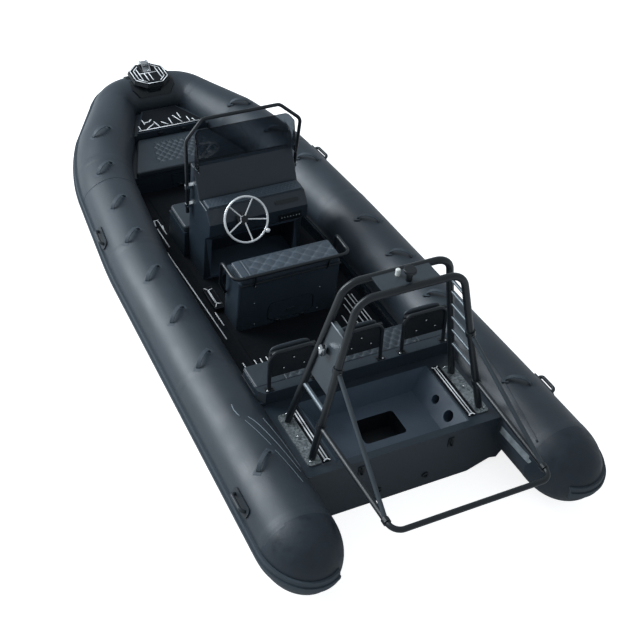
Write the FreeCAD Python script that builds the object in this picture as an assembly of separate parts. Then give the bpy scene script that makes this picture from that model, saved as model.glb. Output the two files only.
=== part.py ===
"""Rigid inflatable boat, 5.6 m long: deep-V hull, inflated collar, console, helm seat, rear bench and arch.

Millimetres. +Y is forward, +X is starboard, +Z is up. The origin is the waterline on the centreline at the
transom's aft face.
"""
import FreeCAD, Part
import math
import os

V = FreeCAD.Vector
AXIS_X = V(1, 0, 0)
AXIS_Y = V(0, 1, 0)
AXIS_Z = V(0, 0, 1)
FULL_TURN = 360
HALF = 0.5
PARALLEL_SHARE = 0.999999
NEARNESS = 1
LITRE = 1e6
BISECTIONS = 40

# Collar: centreline of the starboard tube from the stern to the bow, as x, y, z
TUBE_R = 235
STERN_TUBE_R = 262
BOW_TUBE_R = 188
STERN_SEAM = V(965, -360, 335)
QUARTER_BEND = V(895, 2500, 270)
SHOULDER_BEND = V(762, 3790, 275)
BOW_BEND = V(305, 4680, 365)
QUARTER_BEND_R = 5000
SHOULDER_BEND_R = 1900
BOW_BEND_R = 245
BOW_SEAM_Y = 3400
CONE_LENGTH = 340
STRAKE_WIDTH = 92
STRAKE_DEPTH = 16
STRAKE_RIB_WIDTH = 22
STRAKE_RIB_DEPTH = 26

# Hull: bottom of the boat, as half sections of x, z at stations along y
DECK_Z = 100
HULL_TOP_Z = 84
HULL_STATIONS = (
    # y, keel z, chine x, chine z, flat width, side x, side top z
    (48, -200, 700, 64, 60, 860, 200),
    (900, -200, 702, 66, 60, 850, 200),
    (1900, -198, 698, 70, 58, 830, 200),
    (2900, -180, 665, 80, 50, 785, 205),
    (3700, -115, 565, 106, 40, 660, 215),
    (4300, 15, 345, 165, 24, 425, 240),
    (4720, 190, 130, 235, 10, 165, 270),
)
LIFTING_STRAKE_SHARES = (0.36, 0.7)
LIFTING_STRAKE_W = 42
LIFTING_STRAKE_H = 12
LIFTING_STRAKE_STATIONS = 5
KEEL_GUARD_W = 44
KEEL_GUARD_T = 10
TRANSOM_T = 48
TRANSOM_TOP_Z = 458
TRANSOM_HALF_W = 735
DRAIN_R = 14
DRAIN_FLANGE_R = 26
DRAIN_T = 8
DRAIN_X = 180
DRAIN_Z = 105
EYE_X = 340
EYE_Z = 365
EYE_R = 26
EYE_WIRE_R = 6
EYE_PLATE_T = 5
EYE_PLATE_W = 46
EYE_PLATE_H = 84

# Deck
COCKPIT_SIDE = ((680, 48), (645, 2500), (575, 3250), (480, 3672))
BOW_WELL_SIDE = ((480, 3672), (330, 4150), (205, 4440))
BOW_FLOOR_Z = 178
FIT_GAP = 0.3
PAD_T = 6
SOLE_PAD_INNER_X = 470
SOLE_PAD_OUTER_X = 610
SOLE_PAD_AFT_Y = 1330
SOLE_PAD_FRONT_Y = 3300
SOLE_PAD_FRONT_INNER_X = 450
SOLE_PAD_FRONT_OUTER_X = 560
MID_PAD_FRONT_Y = 1700
MID_PAD_AFT_Y = 1090
MID_PAD_HALF_W = 440
HELM_PAD_FRONT_Y = 2420
HELM_PAD_AFT_Y = 2080
HELM_PAD_HALF_W = 330
BOW_PAD_FRONT_Y = 3560
BOW_PAD_AFT_Y = 3120
BOW_PAD_HALF_W = 430

# Stern deck with its splash well
STERN_DECK_Z = 446
STERN_DECK_HALF_W = 800
BENCH_AFT_Y = 695
WELL_TOP_HALF_W = 505
WELL_FLOOR_HALF_W = 385
WELL_FLOOR_Z = 290
WELL_AFT_Y = 65
WELL_FRONT_Y = 635
WELL_FLOOR_AFT_Y = 165
WELL_FLOOR_FRONT_Y = 580
HATCH_HALF_W = 160
HATCH_AFT_Y = 250
HATCH_FRONT_Y = 470
HATCH_DEPTH = 150
HATCH_CORNER_R = 26
RIGGING_HOLE_R1 = 33
RIGGING_HOLE_R2 = 42
RIGGING_HOLE_Y1 = 385
RIGGING_HOLE_Y2 = 212
RIGGING_HOLE_DEPTH = 110
STERN_PAD_INNER_X = 520
STERN_PAD_OUTER_X = 580
STERN_PAD_AFT_Y = 90
STERN_PAD_FRONT_Y = 600

# Bow step locker and bow seat
STEP_TOP_Z = 372
STEP_FRONT_Y = 4440
STEP_AFT_Y = 4150
STEP_FRONT_HALF_W = 215
STEP_AFT_HALF_W = 350
STEP_LID_T = 22
LID_GAP = 6
STEP_PAD_INSET = 14
LID_AFT_HALF_W = 316
LID_FRONT_HALF_W = 163
LOCKER_INNER_AFT_W = 270
LOCKER_INNER_FRONT_W = 140
BOW_SEAT_AFT_Y = 3650
BOW_SEAT_TOP_Z = 268
BOW_SEAT_AFT_HALF_W = 520
BOW_SEAT_FRONT_HALF_W = 380
BOW_CUSHION_T = 50
BOW_SEAT_WALL = 22
BOW_SEAT_INSET = 90
BOW_CUSHION_AFT_HALF_W = 500
BOW_CUSHION_FRONT_HALF_W = 318
BOW_CUSHION_FRONT_Y = 4110
BOW_DOOR_HALF_W = 190
BOW_DOOR_LOW_Z = 122
BOW_DOOR_HIGH_Z = 238
DOOR_T = 14
KNUCKLE_HALF = 7
HINGE_X = 105
HINGE_R = 6
HINGE_LEAF_W = 40
HINGE_LEAF_H = 22
HINGE_LEAF_T = 3
LID_HINGE_Z = 346
HINGE_PIN_R = 2.5
LATCH_W = 70
LATCH_H = 26
LATCH_T = 8

# Console
CONSOLE_HALF_W = 410
CONSOLE_AFT_Y = 2430
DASH_OVERHANG = 80
DASH_AFT_Y = CONSOLE_AFT_Y - DASH_OVERHANG
DASH_TOP_Z = 768
DASH_FOLD_Z = 678
DASH_LOW_FOLD_Z = 570
DASH_BOTTOM_Z = 498
DASH_SHELF = 130
PANEL_RUN = 125
ROOF_LENGTH = 60
PANEL_FOOT_Y = CONSOLE_AFT_Y + DASH_SHELF
PANEL_TOP_Y = PANEL_FOOT_Y + PANEL_RUN
CONSOLE_TOP_Z = 990
CONSOLE_FRONT_Y = PANEL_TOP_Y + ROOF_LENGTH
CONSOLE_WALL = 20
RECESS_HALF_W = 352
DASH_PAD_T = 18
DASH_PAD_INSET = 22
SWITCH_X0 = 159
SWITCH_X1 = 357
SWITCH_LOW_Z = 573
SWITCH_HIGH_Z = 634
SWITCH_PLATE_T = 5
SWITCH_COUNT = 7
ROCKER_W = 17
ROCKER_H = 34
ROCKER_T = 8
SLOT_PLATE_X = 142
SLOT_PLATE_LENGTH = 198
SLOT_PLATE_H = 30
SLOT_PLATE_T = 6
CONSOLE_EDGE_R = 9
KEY_X = -262
KEY_Z = 618
KEY_R = 15
KEY_T = 10
SCREEN_TOP_Z = 1282
SCREEN_T = 6
SCREEN_WING = 150
SCREEN_CORNER_R = 70
SCREEN_FOOT_R = 60
RAIL_R = 14
RAIL_SETBACK = 39
RAIL_FOOT = V(440, CONSOLE_FRONT_Y - RAIL_SETBACK, 570)
RAIL_SHOULDER = V(470, CONSOLE_FRONT_Y - RAIL_SETBACK, 1225)
RAIL_LEAD = 27
RAIL_CORNER = V(316, CONSOLE_FRONT_Y + RAIL_LEAD, 1343)
RAIL_BEND_R = 60
CLAMP_Z_LOW = 640
CLAMP_Z_HIGH = 812
CLAMP_R = 19
CLAMP_H = 30

# Steering
WHEEL_REACH = 88
WHEEL_X = -155
WHEEL_Y = DASH_AFT_Y - WHEEL_REACH
WHEEL_Z = 739
WHEEL_TILT = 32
WHEEL_R = 172
WHEEL_RIM_R = 9
SPOKE_COUNT = 5
SPOKE_T = 6
HUB_R = 27
HUB_T = 24
SHAFT_R = 13
BOSS_R = 44
KNOB_R = 19
KNOB_STALK_R = 6
KNOB_STALK = 22
KNOB_ANGLE = -38
WHEEL_DISH = 34
SHAFT_REACH = 30
SPOKE_START = 62
BOSS_GAP = 6
BOSS_REACH = 90

# Console front seat
CONSOLE_SEAT_LENGTH = 330
CONSOLE_SEAT_FRONT_Y = CONSOLE_FRONT_Y + CONSOLE_SEAT_LENGTH
CONSOLE_SEAT_TOP_Z = 318
CONSOLE_SEAT_HALF_W = 445
SEAT_WALL = 20
SEAT_CUSHION_T = 58
SEAT_LID_T = 12

# Helm seat
HELM_AFT_Y = 1780
HELM_FRONT_Y = 2030
HELM_HALF_W = 415
HELM_BOX_TOP_Z = 548
HELM_CUSHION_T = 62
HELM_CUSHION_HALF_W = 388
HELM_CORNER_R = 24
HELM_RAIL_HALF_W = 470
HELM_RAIL_AFT_Y = 1752
HELM_RAIL_FRONT_Y = 1990
HELM_RAIL_Z = 628
HELM_RAIL_FOOT_Z = 330
HELM_RAIL_R = 14
HELM_RAIL_BEND_R = 62
HELM_RAIL_DROP_R = 40
HELM_DOOR_HALF_W = 190
HELM_DOOR_CENTRE_X = 20
HELM_DOOR_LOW_Z = 124
HELM_DOOR_HIGH_Z = 300
HELM_PULL_Z = 196
HELM_CUSHION_FRONT_Y = 1985
HELM_RAIL_KNEE_Z = 430
HELM_POST_X = 300
HELM_POST_Z = 512
HELM_POST_END_Y = 1774
HELM_DOOR_T = 16
HELM_DOOR_R = 50
HELM_TRIM_R = 7
HELM_TRIM_Z = 532
HELM_TRIM_Y = 1776

# Rear bench
BENCH_FRONT_Y = 998
BENCH_TOP_Z = 470
BENCH_HALF_W = 752
BENCH_WALL = 24
BENCH_HOLLOW_SIDE = 90
BENCH_CHAMFER = 45
BENCH_LEDGE_FRONT_Y = 772
BENCH_LEDGE_Z = 555
BENCH_CUSHION_T = 62
BACKREST_CENTRES = (-505, 0, 505)
BACKREST_HALF_W = 168
BACKREST_FOOT_Y = 726
BACKREST_TOP_Y = 752
BACKREST_HEIGHT = 292
BACKREST_R = 14
BACKREST_BEND_R = 62
BACKREST_PANEL_LOW = 98
BACKREST_PANEL_T = 22
FOOT_PLATE_W = 62
FOOT_PLATE_L = 44
FOOT_PLATE_T = 5
BOLT_R = 7
BOLT_H = 5
BOLT_OFFSET = 22

# Stern arch of two hoops
ARCH_TUBE_R = 25
ARCH_AFT_Y = 150
ARCH_FRONT_Y = 508
ARCH_FOOT_HALF_W = 632
ARCH_TOP_HALF_W = 370
ARCH_TOP_Z = 1605
ARCH_AFT_TOP_Y = 262
ARCH_FRONT_TOP_Y = 432
ARCH_BEND_R = 130
ARCH_BASE_T = 10
ARCH_BASE_HALF_W = 48
ARCH_BASE_OVERHANG = 62
BASE_CORNER_R = 20
ARCH_BOLT_OFFSET = 44
RUNG_R = 11
RUNG_HEIGHTS_STARBOARD = (790, 930, 1060, 1190, 1310, 1420)
RUNG_HEIGHTS_PORT = (800,)
SIDE_PLATE_LOW_Z = 905
SIDE_PLATE_HIGH_Z = 1320
SIDE_PLATE_T = 6
HORN_Z = 1150
HORN_PLACE_SHARE = 0.66
HORN_R = 26
HORN_LENGTH = 40
TOP_PLATE_HALF_L = 202
TOP_PLATE_T = 8
TOP_PLATE_RISE = 10
STERN_LIGHT_DISC_R = 42
STERN_LIGHT_DISC_T = 22
STERN_LIGHT_POST_R = 21
STERN_LIGHT_H = 64
STERN_LIGHT_X = 0
STERN_LIGHT_AHEAD = 48
WHITE_LIGHT_X = -40
WHITE_LIGHT_AHEAD = 116
WHITE_LIGHT_R = 16
WHITE_LIGHT_H = 46

# Frame behind the transom
TOW_BAR_R = 19
TOW_AFT_Y = -750
TOW_BAR_Z = 692
TOW_SIDE_HALF_W = 562
TOW_BEND_R = 75
TOW_CLAMP_Z = 692
STRUT_R = 15
STRUT_TOP_Z = 1115
STRUT_END_Y = -655
TOW_CLAMP_R = 34
TOW_CLAMP_L = 34

# Bow nose step
NOSE_HALF_W = 166
NOSE_AFT_Y = 4500
NOSE_FRONT_Y = 4862
NOSE_TOP_Z = 585
NOSE_CHAMFER = 88
NOSE_BASE_GROW = 26
NOSE_PAD_T = 8
NOSE_PAD_INSET = 14
NOSE_SLAB_T = 26
NOSE_FLANGE_T = 12
ROLLER_BAY = 46
ROLLER_AFT_Y = 4712
ROLLER_R = 24
ROLLER_HALF_L = 30
CHEEK_T = 5
CHEEK_H = 56
CHEEK_L = 130
ROLLER_PIN_R = 6
BOW_EYE_Y = 4440
BOW_EYE_Z = 48
BOW_EYE_R = 30

# Handles on the tubes, by distance from the transom
PORT_HANDLES = (130, 1165, 1670, 2170, 2660, 3090, 3560, 4030)
STARBOARD_HANDLES = (143, 1170, 1700, 2200, 3135, 3620, 4080)
PORT_HANDLE_TILT = 7
STARBOARD_HANDLE_TILT = -5
HANDLE_SKEW = -46
HANDLE_DEPTH = 34
HANDLE_SPAN = 178
HANDLE_RISE = 38
HANDLE_STRAP_W = 30
HANDLE_STRAP_T = 7
HANDLE_PATCH_R = 34
HANDLE_PATCH_T = 4
PORT_CARRY_STATIONS = (-10, 2850)
STARBOARD_CARRY_STATIONS = (160, 3310)
CARRY_TILT = 66
CARRY_LENGTH = 230
CARRY_WIDTH = 78
CARRY_T = 10
CARRY_GRIP_R = 13
CARRY_GRIP_RISE = 40
CARRY_END = 38


def box(x0, x1, y0, y1, z0, z1):
    """A block between two corners."""
    return Part.makeBox(x1 - x0, y1 - y0, z1 - z0, V(x0, y0, z0))


def prism(points, sweep):
    """A closed polygon pushed along a vector."""
    return Part.Face(Part.makePolygon(points + [points[0]])).extrude(sweep)


def side_profile(points, half_width):
    """A y, z outline, as wide as twice the half width about the centreline."""
    outline = [V(-half_width, y, z) for y, z in points]
    return prism(outline, V(half_width + half_width, 0, 0))


def plan_profile(points, z0, z1):
    """An x, y outline between two heights."""
    return prism([V(x, y, z0) for x, y in points], V(0, 0, z1 - z0))


def mirrored(points):
    """A half outline of x, y from aft to forward, completed on the port side."""
    return points + [(-x, y) for x, y in reversed(points)]


def disc(centre, radius, length, axis):
    """A cylinder standing on its centre point."""
    return Part.makeCylinder(radius, length, centre, axis)


def rod(start, end, radius):
    """A round bar between two points."""
    run = end - start
    return Part.makeCylinder(radius, run.Length, start, run)


def round_edges(solid, radius, direction):
    """Round the straight edges that run along one direction."""
    chosen = []
    for edge in solid.Edges:
        if len(edge.Vertexes) == 2:
            run = edge.Vertexes[1].Point - edge.Vertexes[0].Point
            if run.Length > 0 and abs(run.normalize().dot(direction)) > PARALLEL_SHARE:
                chosen.append(edge)
    return solid.makeFillet(radius, chosen)


def soft_edges(points, radii):
    """Straight runs and the tangent arcs between them, one radius per inner point."""
    edges = []
    start = points[0]
    for before, corner, after, radius in zip(points, points[1:], points[2:], radii):
        way_in = (corner - before).normalize()
        way_out = (after - corner).normalize()
        turn = math.acos(max(-1, min(1, way_in.dot(way_out))))
        tangent = radius * math.tan(turn * HALF)
        arc_start = corner - way_in * tangent
        arc_end = corner + way_out * tangent
        inward = (way_out - way_in).normalize()
        middle = corner + inward * (radius / math.cos(turn * HALF) - radius)
        edges.append(Part.LineSegment(start, arc_start).toShape())
        edges.append(Part.Arc(arc_start, middle, arc_end).toShape())
        start = arc_end
    edges.append(Part.LineSegment(start, points[-1]).toShape())
    return edges


def soft_path(points, radii):
    """A wire of straight runs joined by tangent arcs."""
    return Part.Wire(soft_edges(points, radii))


def tube(points, radii, radius):
    """A round bar bent along a soft path."""
    path = soft_path(points, radii)
    start = points[0]
    section = Part.Wire(Part.makeCircle(radius, start, points[1] - start))
    return path.makePipeShell([section], True, False)


def mirror_x(shape):
    """The same shape on the other side of the centreline."""
    return shape.mirror(V(0, 0, 0), AXIS_X)


def both_sides(shape):
    """The shape and its mirror image."""
    return [shape, mirror_x(shape)]


def save(name, shapes):
    """Write one sub-part."""
    solids = shapes if isinstance(shapes, list) else [shapes]
    whole = solids[0] if len(solids) == 1 else Part.makeCompound(solids)
    whole.exportStep("parts/" + name + ".step")
    print(name, round(whole.Volume / LITRE, 3), len(whole.Solids), whole.isValid())
    return whole


def port(point):
    """The mirrored place on the port side."""
    return V(-point.x, point.y, point.z)


SIDE_POINTS = [STERN_SEAM, QUARTER_BEND, SHOULDER_BEND, BOW_BEND]
SIDE_BENDS = [QUARTER_BEND_R, SHOULDER_BEND_R, BOW_BEND_R]
SIDE_RADII = [STERN_TUBE_R, TUBE_R, TUBE_R, TUBE_R, TUBE_R, BOW_TUBE_R, BOW_TUBE_R, BOW_TUBE_R]


def side_spans():
    """Runs and bends of the starboard tube up to the centreline, with the radius at both ends."""
    edges = soft_edges(SIDE_POINTS + [V(0, BOW_BEND.y, BOW_BEND.z)], SIDE_BENDS)
    return list(zip(edges, SIDE_RADII, SIDE_RADII[1:]))


def ends_of(edge):
    """First and last point of an edge."""
    return edge.valueAt(edge.FirstParameter), edge.valueAt(edge.LastParameter)


def collar_frame(y):
    """Centre, unit direction and radius of the starboard tube at a distance from the transom."""
    for edge, near, far in side_spans():
        if y <= ends_of(edge)[-1].y:
            break
    low, high = edge.FirstParameter, edge.LastParameter
    for step in range(BISECTIONS):
        middle = (low + high) * HALF
        if edge.valueAt(middle).y < y:
            low = middle
        else:
            high = middle
    share = (middle - edge.FirstParameter) / (edge.LastParameter - edge.FirstParameter)
    return edge.valueAt(middle), edge.tangentAt(middle).normalize(), near + (far - near) * share


def on_tube(y, tilt, rise):
    """Point on the starboard tube, tilted outboard from its crest, and the outward direction there."""
    centre, along, radius = collar_frame(y)
    outboard = along.cross(AXIS_Z).normalize()
    crest = outboard.cross(along).normalize()
    angle = math.radians(tilt)
    outward = outboard * math.sin(angle) + crest * math.cos(angle)
    return centre + outward * (radius + rise), outward, along


def placed(shape, origin, along, outward):
    """Carry a shape whose length lies along Y and whose back faces -Z onto a surface."""
    across = along.cross(outward).normalize()
    frame = FreeCAD.Matrix(
        across.x, along.x, outward.x, origin.x,
        across.y, along.y, outward.y, origin.y,
        across.z, along.z, outward.z, origin.z,
        0, 0, 0, 1)
    moved = shape.copy()
    moved.Placement = FreeCAD.Placement(frame).multiply(shape.Placement)
    return moved


def stern_cone(grow):
    """Rounded end of the starboard tube, or a larger copy of it."""
    along = (STERN_SEAM - QUARTER_BEND).normalize()
    length, radius = CONE_LENGTH + grow, STERN_TUBE_R + grow
    tip = Part.Ellipse(V(0, 0, 0), length, radius)
    arc = Part.Arc(tip, 0, math.pi * HALF).toShape()
    base = Part.LineSegment(V(0, radius, 0), V(0, 0, 0)).toShape()
    axis = Part.LineSegment(V(0, 0, 0), V(length, 0, 0)).toShape()
    cone = Part.Face(Part.Wire(Part.__sortEdges__([arc, base, axis]))).revolve(V(0, 0, 0), AXIS_X, FULL_TURN)
    turn = FreeCAD.Rotation(AXIS_X, along)
    cone.Placement = FreeCAD.Placement(STERN_SEAM, turn)
    return cone


def side_pieces(grow):
    """Tapered runs and round bends of the starboard half, in order up to the centreline, or larger copies."""
    pieces = []
    for edge, near, far in side_spans():
        start = ends_of(edge)[0]
        along = edge.tangentAt(edge.FirstParameter)
        if near != far:
            pieces.append(Part.makeCone(near + grow, far + grow, edge.Length, start, along))
        elif len(pieces) % 2:
            section = Part.Face(Part.Wire(Part.makeCircle(near + grow, start, along)))
            pieces.append(swung(section, edge))
        else:
            pieces.append(disc(start, near + grow, edge.Length, along))
    return pieces


def swung(section, edge):
    """A section turned along a round bend."""
    bend = edge.Curve
    return section.revolve(bend.Center, bend.Axis, math.degrees(edge.LastParameter - edge.FirstParameter))


def within(pieces, region):
    """What a region holds of each piece."""
    return [solid for piece in pieces for solid in piece.common(region).Solids]


def make_collar():
    """One tube round the boat, split at the two bow seams."""
    reach = BOW_BEND.y
    fore = within(side_pieces(0), box(-reach, reach, BOW_SEAM_Y, reach + reach, -reach, reach))
    aft = within(side_pieces(0), box(-reach, reach, -reach, BOW_SEAM_Y, -reach, reach))
    half = fore[0].fuse(fore[1:]).removeSplitter()
    side = aft[0].fuse(aft[1:] + [stern_cone(0)])
    return half.fuse(mirror_x(half)).removeSplitter(), side.removeSplitter()


def hull_section(y, keel_z, chine_x, chine_z, flat, side_x, side_z):
    """Closed section of the bottom: keel, chine flats and flared sides."""
    half = [(0, keel_z), (chine_x, chine_z), (chine_x + flat, chine_z - flat * HALF * HALF), (side_x, side_z)]
    left = [(-x, z) for x, z in reversed(half[1:])]
    points = [V(x, y, z) for x, z in half + left]
    return Part.Wire(Part.makePolygon(points + [points[0]]))


def make_hull(collar):
    """Deep-V bottom with lifting strakes, sunk for the cockpit and cut to cradle the tubes."""
    sections = [hull_section(*station) for station in HULL_STATIONS]
    hull = Part.makeLoft(sections, True, False)
    for share in LIFTING_STRAKE_SHARES:
        hull = hull.fuse(both_sides(lifting_strake(share)))
    hull = hull.cut(plan_profile(mirrored(list(COCKPIT_SIDE)), HULL_TOP_Z, BENCH_TOP_Z))
    hull = hull.cut(plan_profile(mirrored(list(BOW_WELL_SIDE)), BOW_FLOOR_Z, BENCH_TOP_Z))
    return hull.cut(collar)


def lifting_strake(share):
    """Triangular strake under the bottom, at a share of the way from keel to chine."""
    wires = []
    for y, keel_z, chine_x, chine_z, flat, side_x, side_z in HULL_STATIONS[:LIFTING_STRAKE_STATIONS]:
        x = chine_x * share
        z = keel_z + (chine_z - keel_z) * share
        outline = [V(x, y, z - LIFTING_STRAKE_H), V(x - LIFTING_STRAKE_W, y, z - LIFTING_STRAKE_H),
                   V(x - LIFTING_STRAKE_W, y, z + LIFTING_STRAKE_H), V(x, y, z + LIFTING_STRAKE_H)]
        wires.append(Part.makePolygon(outline + [outline[0]]))
    return Part.makeLoft(wires, True, False)


def make_keel_guard(hull, collar):
    """Rubber strip that follows the keel and the stem."""
    wires = []
    for station in HULL_STATIONS:
        y, keel_z = station[0], station[1]
        low, high = keel_z - KEEL_GUARD_T, keel_z + KEEL_GUARD_W
        outline = [V(-KEEL_GUARD_W * HALF, y, low), V(KEEL_GUARD_W * HALF, y, low),
                   V(KEEL_GUARD_W * HALF, y, high), V(-KEEL_GUARD_W * HALF, y, high)]
        wires.append(Part.makePolygon(outline + [outline[0]]))
    return largest(Part.makeLoft(wires, True, False).cut([hull, collar]))


def make_transom(collar):
    """Stern plate, shaped like the hull's aft section and raised to the stern deck's lip."""
    y, keel_z, chine_x, chine_z, flat, side_x, side_z = HULL_STATIONS[0]
    half = [(chine_x, chine_z), (chine_x + flat, chine_z - flat * HALF * HALF), (side_x, side_z),
            (TRANSOM_HALF_W, TRANSOM_TOP_Z)]
    outline = [V(0, 0, keel_z)] + [V(x, 0, z) for x, z in half]
    outline += [V(-x, 0, z) for x, z in reversed(half)]
    plate = prism(outline, V(0, TRANSOM_T, 0))
    return plate.cut(collar)


def make_transom_fittings():
    """Two towing eyes and two drains on the transom's aft face."""
    eyes = []
    for side in (-1, 1):
        centre = V(side * EYE_X, 0, EYE_Z)
        plate = box(centre.x - EYE_PLATE_W * HALF, centre.x + EYE_PLATE_W * HALF, -EYE_PLATE_T, 0,
                    EYE_Z - EYE_PLATE_H * HALF, EYE_Z + EYE_PLATE_H * HALF)
        ring = Part.makeTorus(EYE_R, EYE_WIRE_R, centre, AXIS_X)
        eyes.append(round_edges(plate, EYE_WIRE_R, AXIS_Y).fuse(ring.common(aft_of(-EYE_PLATE_T * HALF))))
        drain = V(side * DRAIN_X, 0, DRAIN_Z)
        flange = disc(drain, DRAIN_FLANGE_R, DRAIN_T, -AXIS_Y)
        eyes.append(flange.cut(disc(drain, DRAIN_R, DRAIN_T, -AXIS_Y)))
    return eyes


def aft_of(y):
    """Everything near the boat that lies aft of a station."""
    reach = STERN_SEAM.x + STERN_SEAM.x
    return box(-reach, reach, y - reach, y, -reach, reach)


def make_rub_strake():
    """Wide rubber band with a rib along the outer side, wrapped round the stern cones."""
    bands = [band_run(STRAKE_WIDTH, STRAKE_DEPTH), band_run(STRAKE_RIB_WIDTH, STRAKE_RIB_DEPTH)]
    half = bands[0].fuse(bands[1]).removeSplitter()
    return half.fuse(mirror_x(half)).removeSplitter()


def band_run(width, depth):
    """Band on the outer side of the starboard half, its set carried round each bend to the next run."""
    runs = [cone_band(width, depth).cut(stern_cone(0))]
    first = (QUARTER_BEND - STERN_SEAM).normalize()
    up = first.cross(AXIS_Z).cross(first).normalize()
    for span, outer, inner in zip(side_spans(), side_pieces(depth), side_pieces(0)):
        edge, radius = span[0], span[1]
        start, end = ends_of(edge)
        along = edge.tangentAt(edge.FirstParameter).normalize()
        reach = along.cross(up) * (radius + depth + depth)
        rise = up * (width * HALF)
        slab = Part.Face(Part.makePolygon([start - rise, start + reach - rise, start + reach + rise, start + rise,
                                           start - rise]))
        if len(runs) % 2:
            runs.append(outer.common(slab.extrude(end - start)).cut(inner))
        else:
            rims = [Part.Face(Part.Wire(Part.makeCircle(size, start, along))) for size in (radius + depth, radius)]
            runs.append(swung(rims[0].common(slab).cut(rims[1]).Faces[0], edge))
            up = turned(up, edge.Curve.Axis, math.degrees(edge.LastParameter - edge.FirstParameter))
    return runs[0].fuse(runs[1:])


def cone_band(width, depth):
    """Band round the outer half of the starboard stern cone."""
    along = (STERN_SEAM - QUARTER_BEND).normalize()
    shell = stern_cone(depth)
    reach = STERN_TUBE_R + STERN_TUBE_R
    keep = box(0, reach, -STERN_TUBE_R * HALF, reach, -width * HALF, width * HALF)
    keep.Placement = FreeCAD.Placement(STERN_SEAM, FreeCAD.Rotation(along, AXIS_Z.cross(along), AXIS_Z, "XZY"))
    return shell.common(keep)


def arch_strap(span, rise, thickness, width):
    """Flat strap bent into an arch, feet along Y, standing on Z = 0."""
    outer = Part.Arc(V(0, -span * HALF, 0), V(0, 0, rise), V(0, span * HALF, 0)).toShape()
    foot = span * HALF - thickness
    inner = Part.Arc(V(0, foot, 0), V(0, 0, rise - thickness), V(0, -foot, 0)).toShape()
    ends = [Part.LineSegment(V(0, span * HALF, 0), V(0, foot, 0)).toShape(),
            Part.LineSegment(V(0, -foot, 0), V(0, -span * HALF, 0)).toShape()]
    face = Part.Face(Part.Wire([outer, ends[0], inner, ends[1]]))
    strap = face.extrude(V(width, 0, 0))
    strap.translate(V(-width * HALF, 0, 0))
    return strap


def grab_handle():
    """Webbing loop between two round patches."""
    strap = arch_strap(HANDLE_SPAN, HANDLE_RISE + HANDLE_DEPTH, HANDLE_STRAP_T, HANDLE_STRAP_W)
    strap.translate(V(0, 0, -HANDLE_DEPTH))
    parts = []
    for side in (-1, 1):
        foot = V(0, side * HANDLE_SPAN * HALF, HANDLE_PATCH_T)
        parts.append(disc(foot, HANDLE_PATCH_R, HANDLE_DEPTH, -AXIS_Z))
    return strap.fuse(parts)


def make_grab_handles(collar):
    """Loops set askew over the crest of both tubes."""
    handles = []
    for stations, tilt, is_port in ((STARBOARD_HANDLES, STARBOARD_HANDLE_TILT, False),
                                    (PORT_HANDLES, PORT_HANDLE_TILT, True)):
        for y in stations:
            point, outward, along = on_tube(y, tilt, 0)
            skewed = turned(along, outward, HANDLE_SKEW)
            handle = placed(grab_handle(), point, skewed, outward).cut(collar)
            handles.append(mirror_x(handle) if is_port else handle)
    return handles


def turned(direction, axis, degrees):
    """A direction turned about an axis."""
    return FreeCAD.Rotation(axis, degrees).multVec(direction)


def carry_handle():
    """Moulded lifting handle: rounded base with a raised grip."""
    base = box(-CARRY_WIDTH * HALF, CARRY_WIDTH * HALF, -CARRY_LENGTH * HALF, CARRY_LENGTH * HALF,
               -CARRY_WIDTH, CARRY_T)
    base = round_edges(base, CARRY_WIDTH * HALF - CARRY_T, AXIS_Z)
    reach = CARRY_LENGTH * HALF - CARRY_END
    bend = CARRY_GRIP_R + CARRY_GRIP_R
    grip = tube([V(0, -reach, -CARRY_T), V(0, -reach, CARRY_GRIP_RISE), V(0, reach, CARRY_GRIP_RISE),
                 V(0, reach, -CARRY_T)], [bend, bend], CARRY_GRIP_R)
    return base.fuse(grip)


def make_carry_handles(collar):
    """Two lifting handles on the outer side of each tube."""
    handles = []
    for stations, is_port in ((STARBOARD_CARRY_STATIONS, False), (PORT_CARRY_STATIONS, True)):
        for y in stations:
            point, outward, along = on_tube(y, CARRY_TILT, 0)
            handle = placed(carry_handle(), point, along, outward).cut(collar)
            handles.append(mirror_x(handle) if is_port else handle)
    return handles


def make_sole(collar):
    """Flat cockpit floor between the hull sides."""
    return plan_profile(mirrored(list(COCKPIT_SIDE)), HULL_TOP_Z, DECK_Z).cut(collar)


def make_deck_pads():
    """Foam pads on the floor: one down each side and three across."""
    side = [(SOLE_PAD_INNER_X, SOLE_PAD_AFT_Y), (SOLE_PAD_OUTER_X, SOLE_PAD_AFT_Y),
            (SOLE_PAD_FRONT_OUTER_X, SOLE_PAD_FRONT_Y), (SOLE_PAD_FRONT_INNER_X, SOLE_PAD_FRONT_Y)]
    pads = both_sides(plan_profile(side, DECK_Z, DECK_Z + PAD_T))
    for half, aft, front in ((MID_PAD_HALF_W, MID_PAD_AFT_Y, MID_PAD_FRONT_Y),
                             (HELM_PAD_HALF_W, HELM_PAD_AFT_Y, HELM_PAD_FRONT_Y),
                             (BOW_PAD_HALF_W, BOW_PAD_AFT_Y, BOW_PAD_FRONT_Y)):
        pads.append(box(-half, half, aft, front, DECK_Z, DECK_Z + PAD_T))
    return pads


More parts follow.
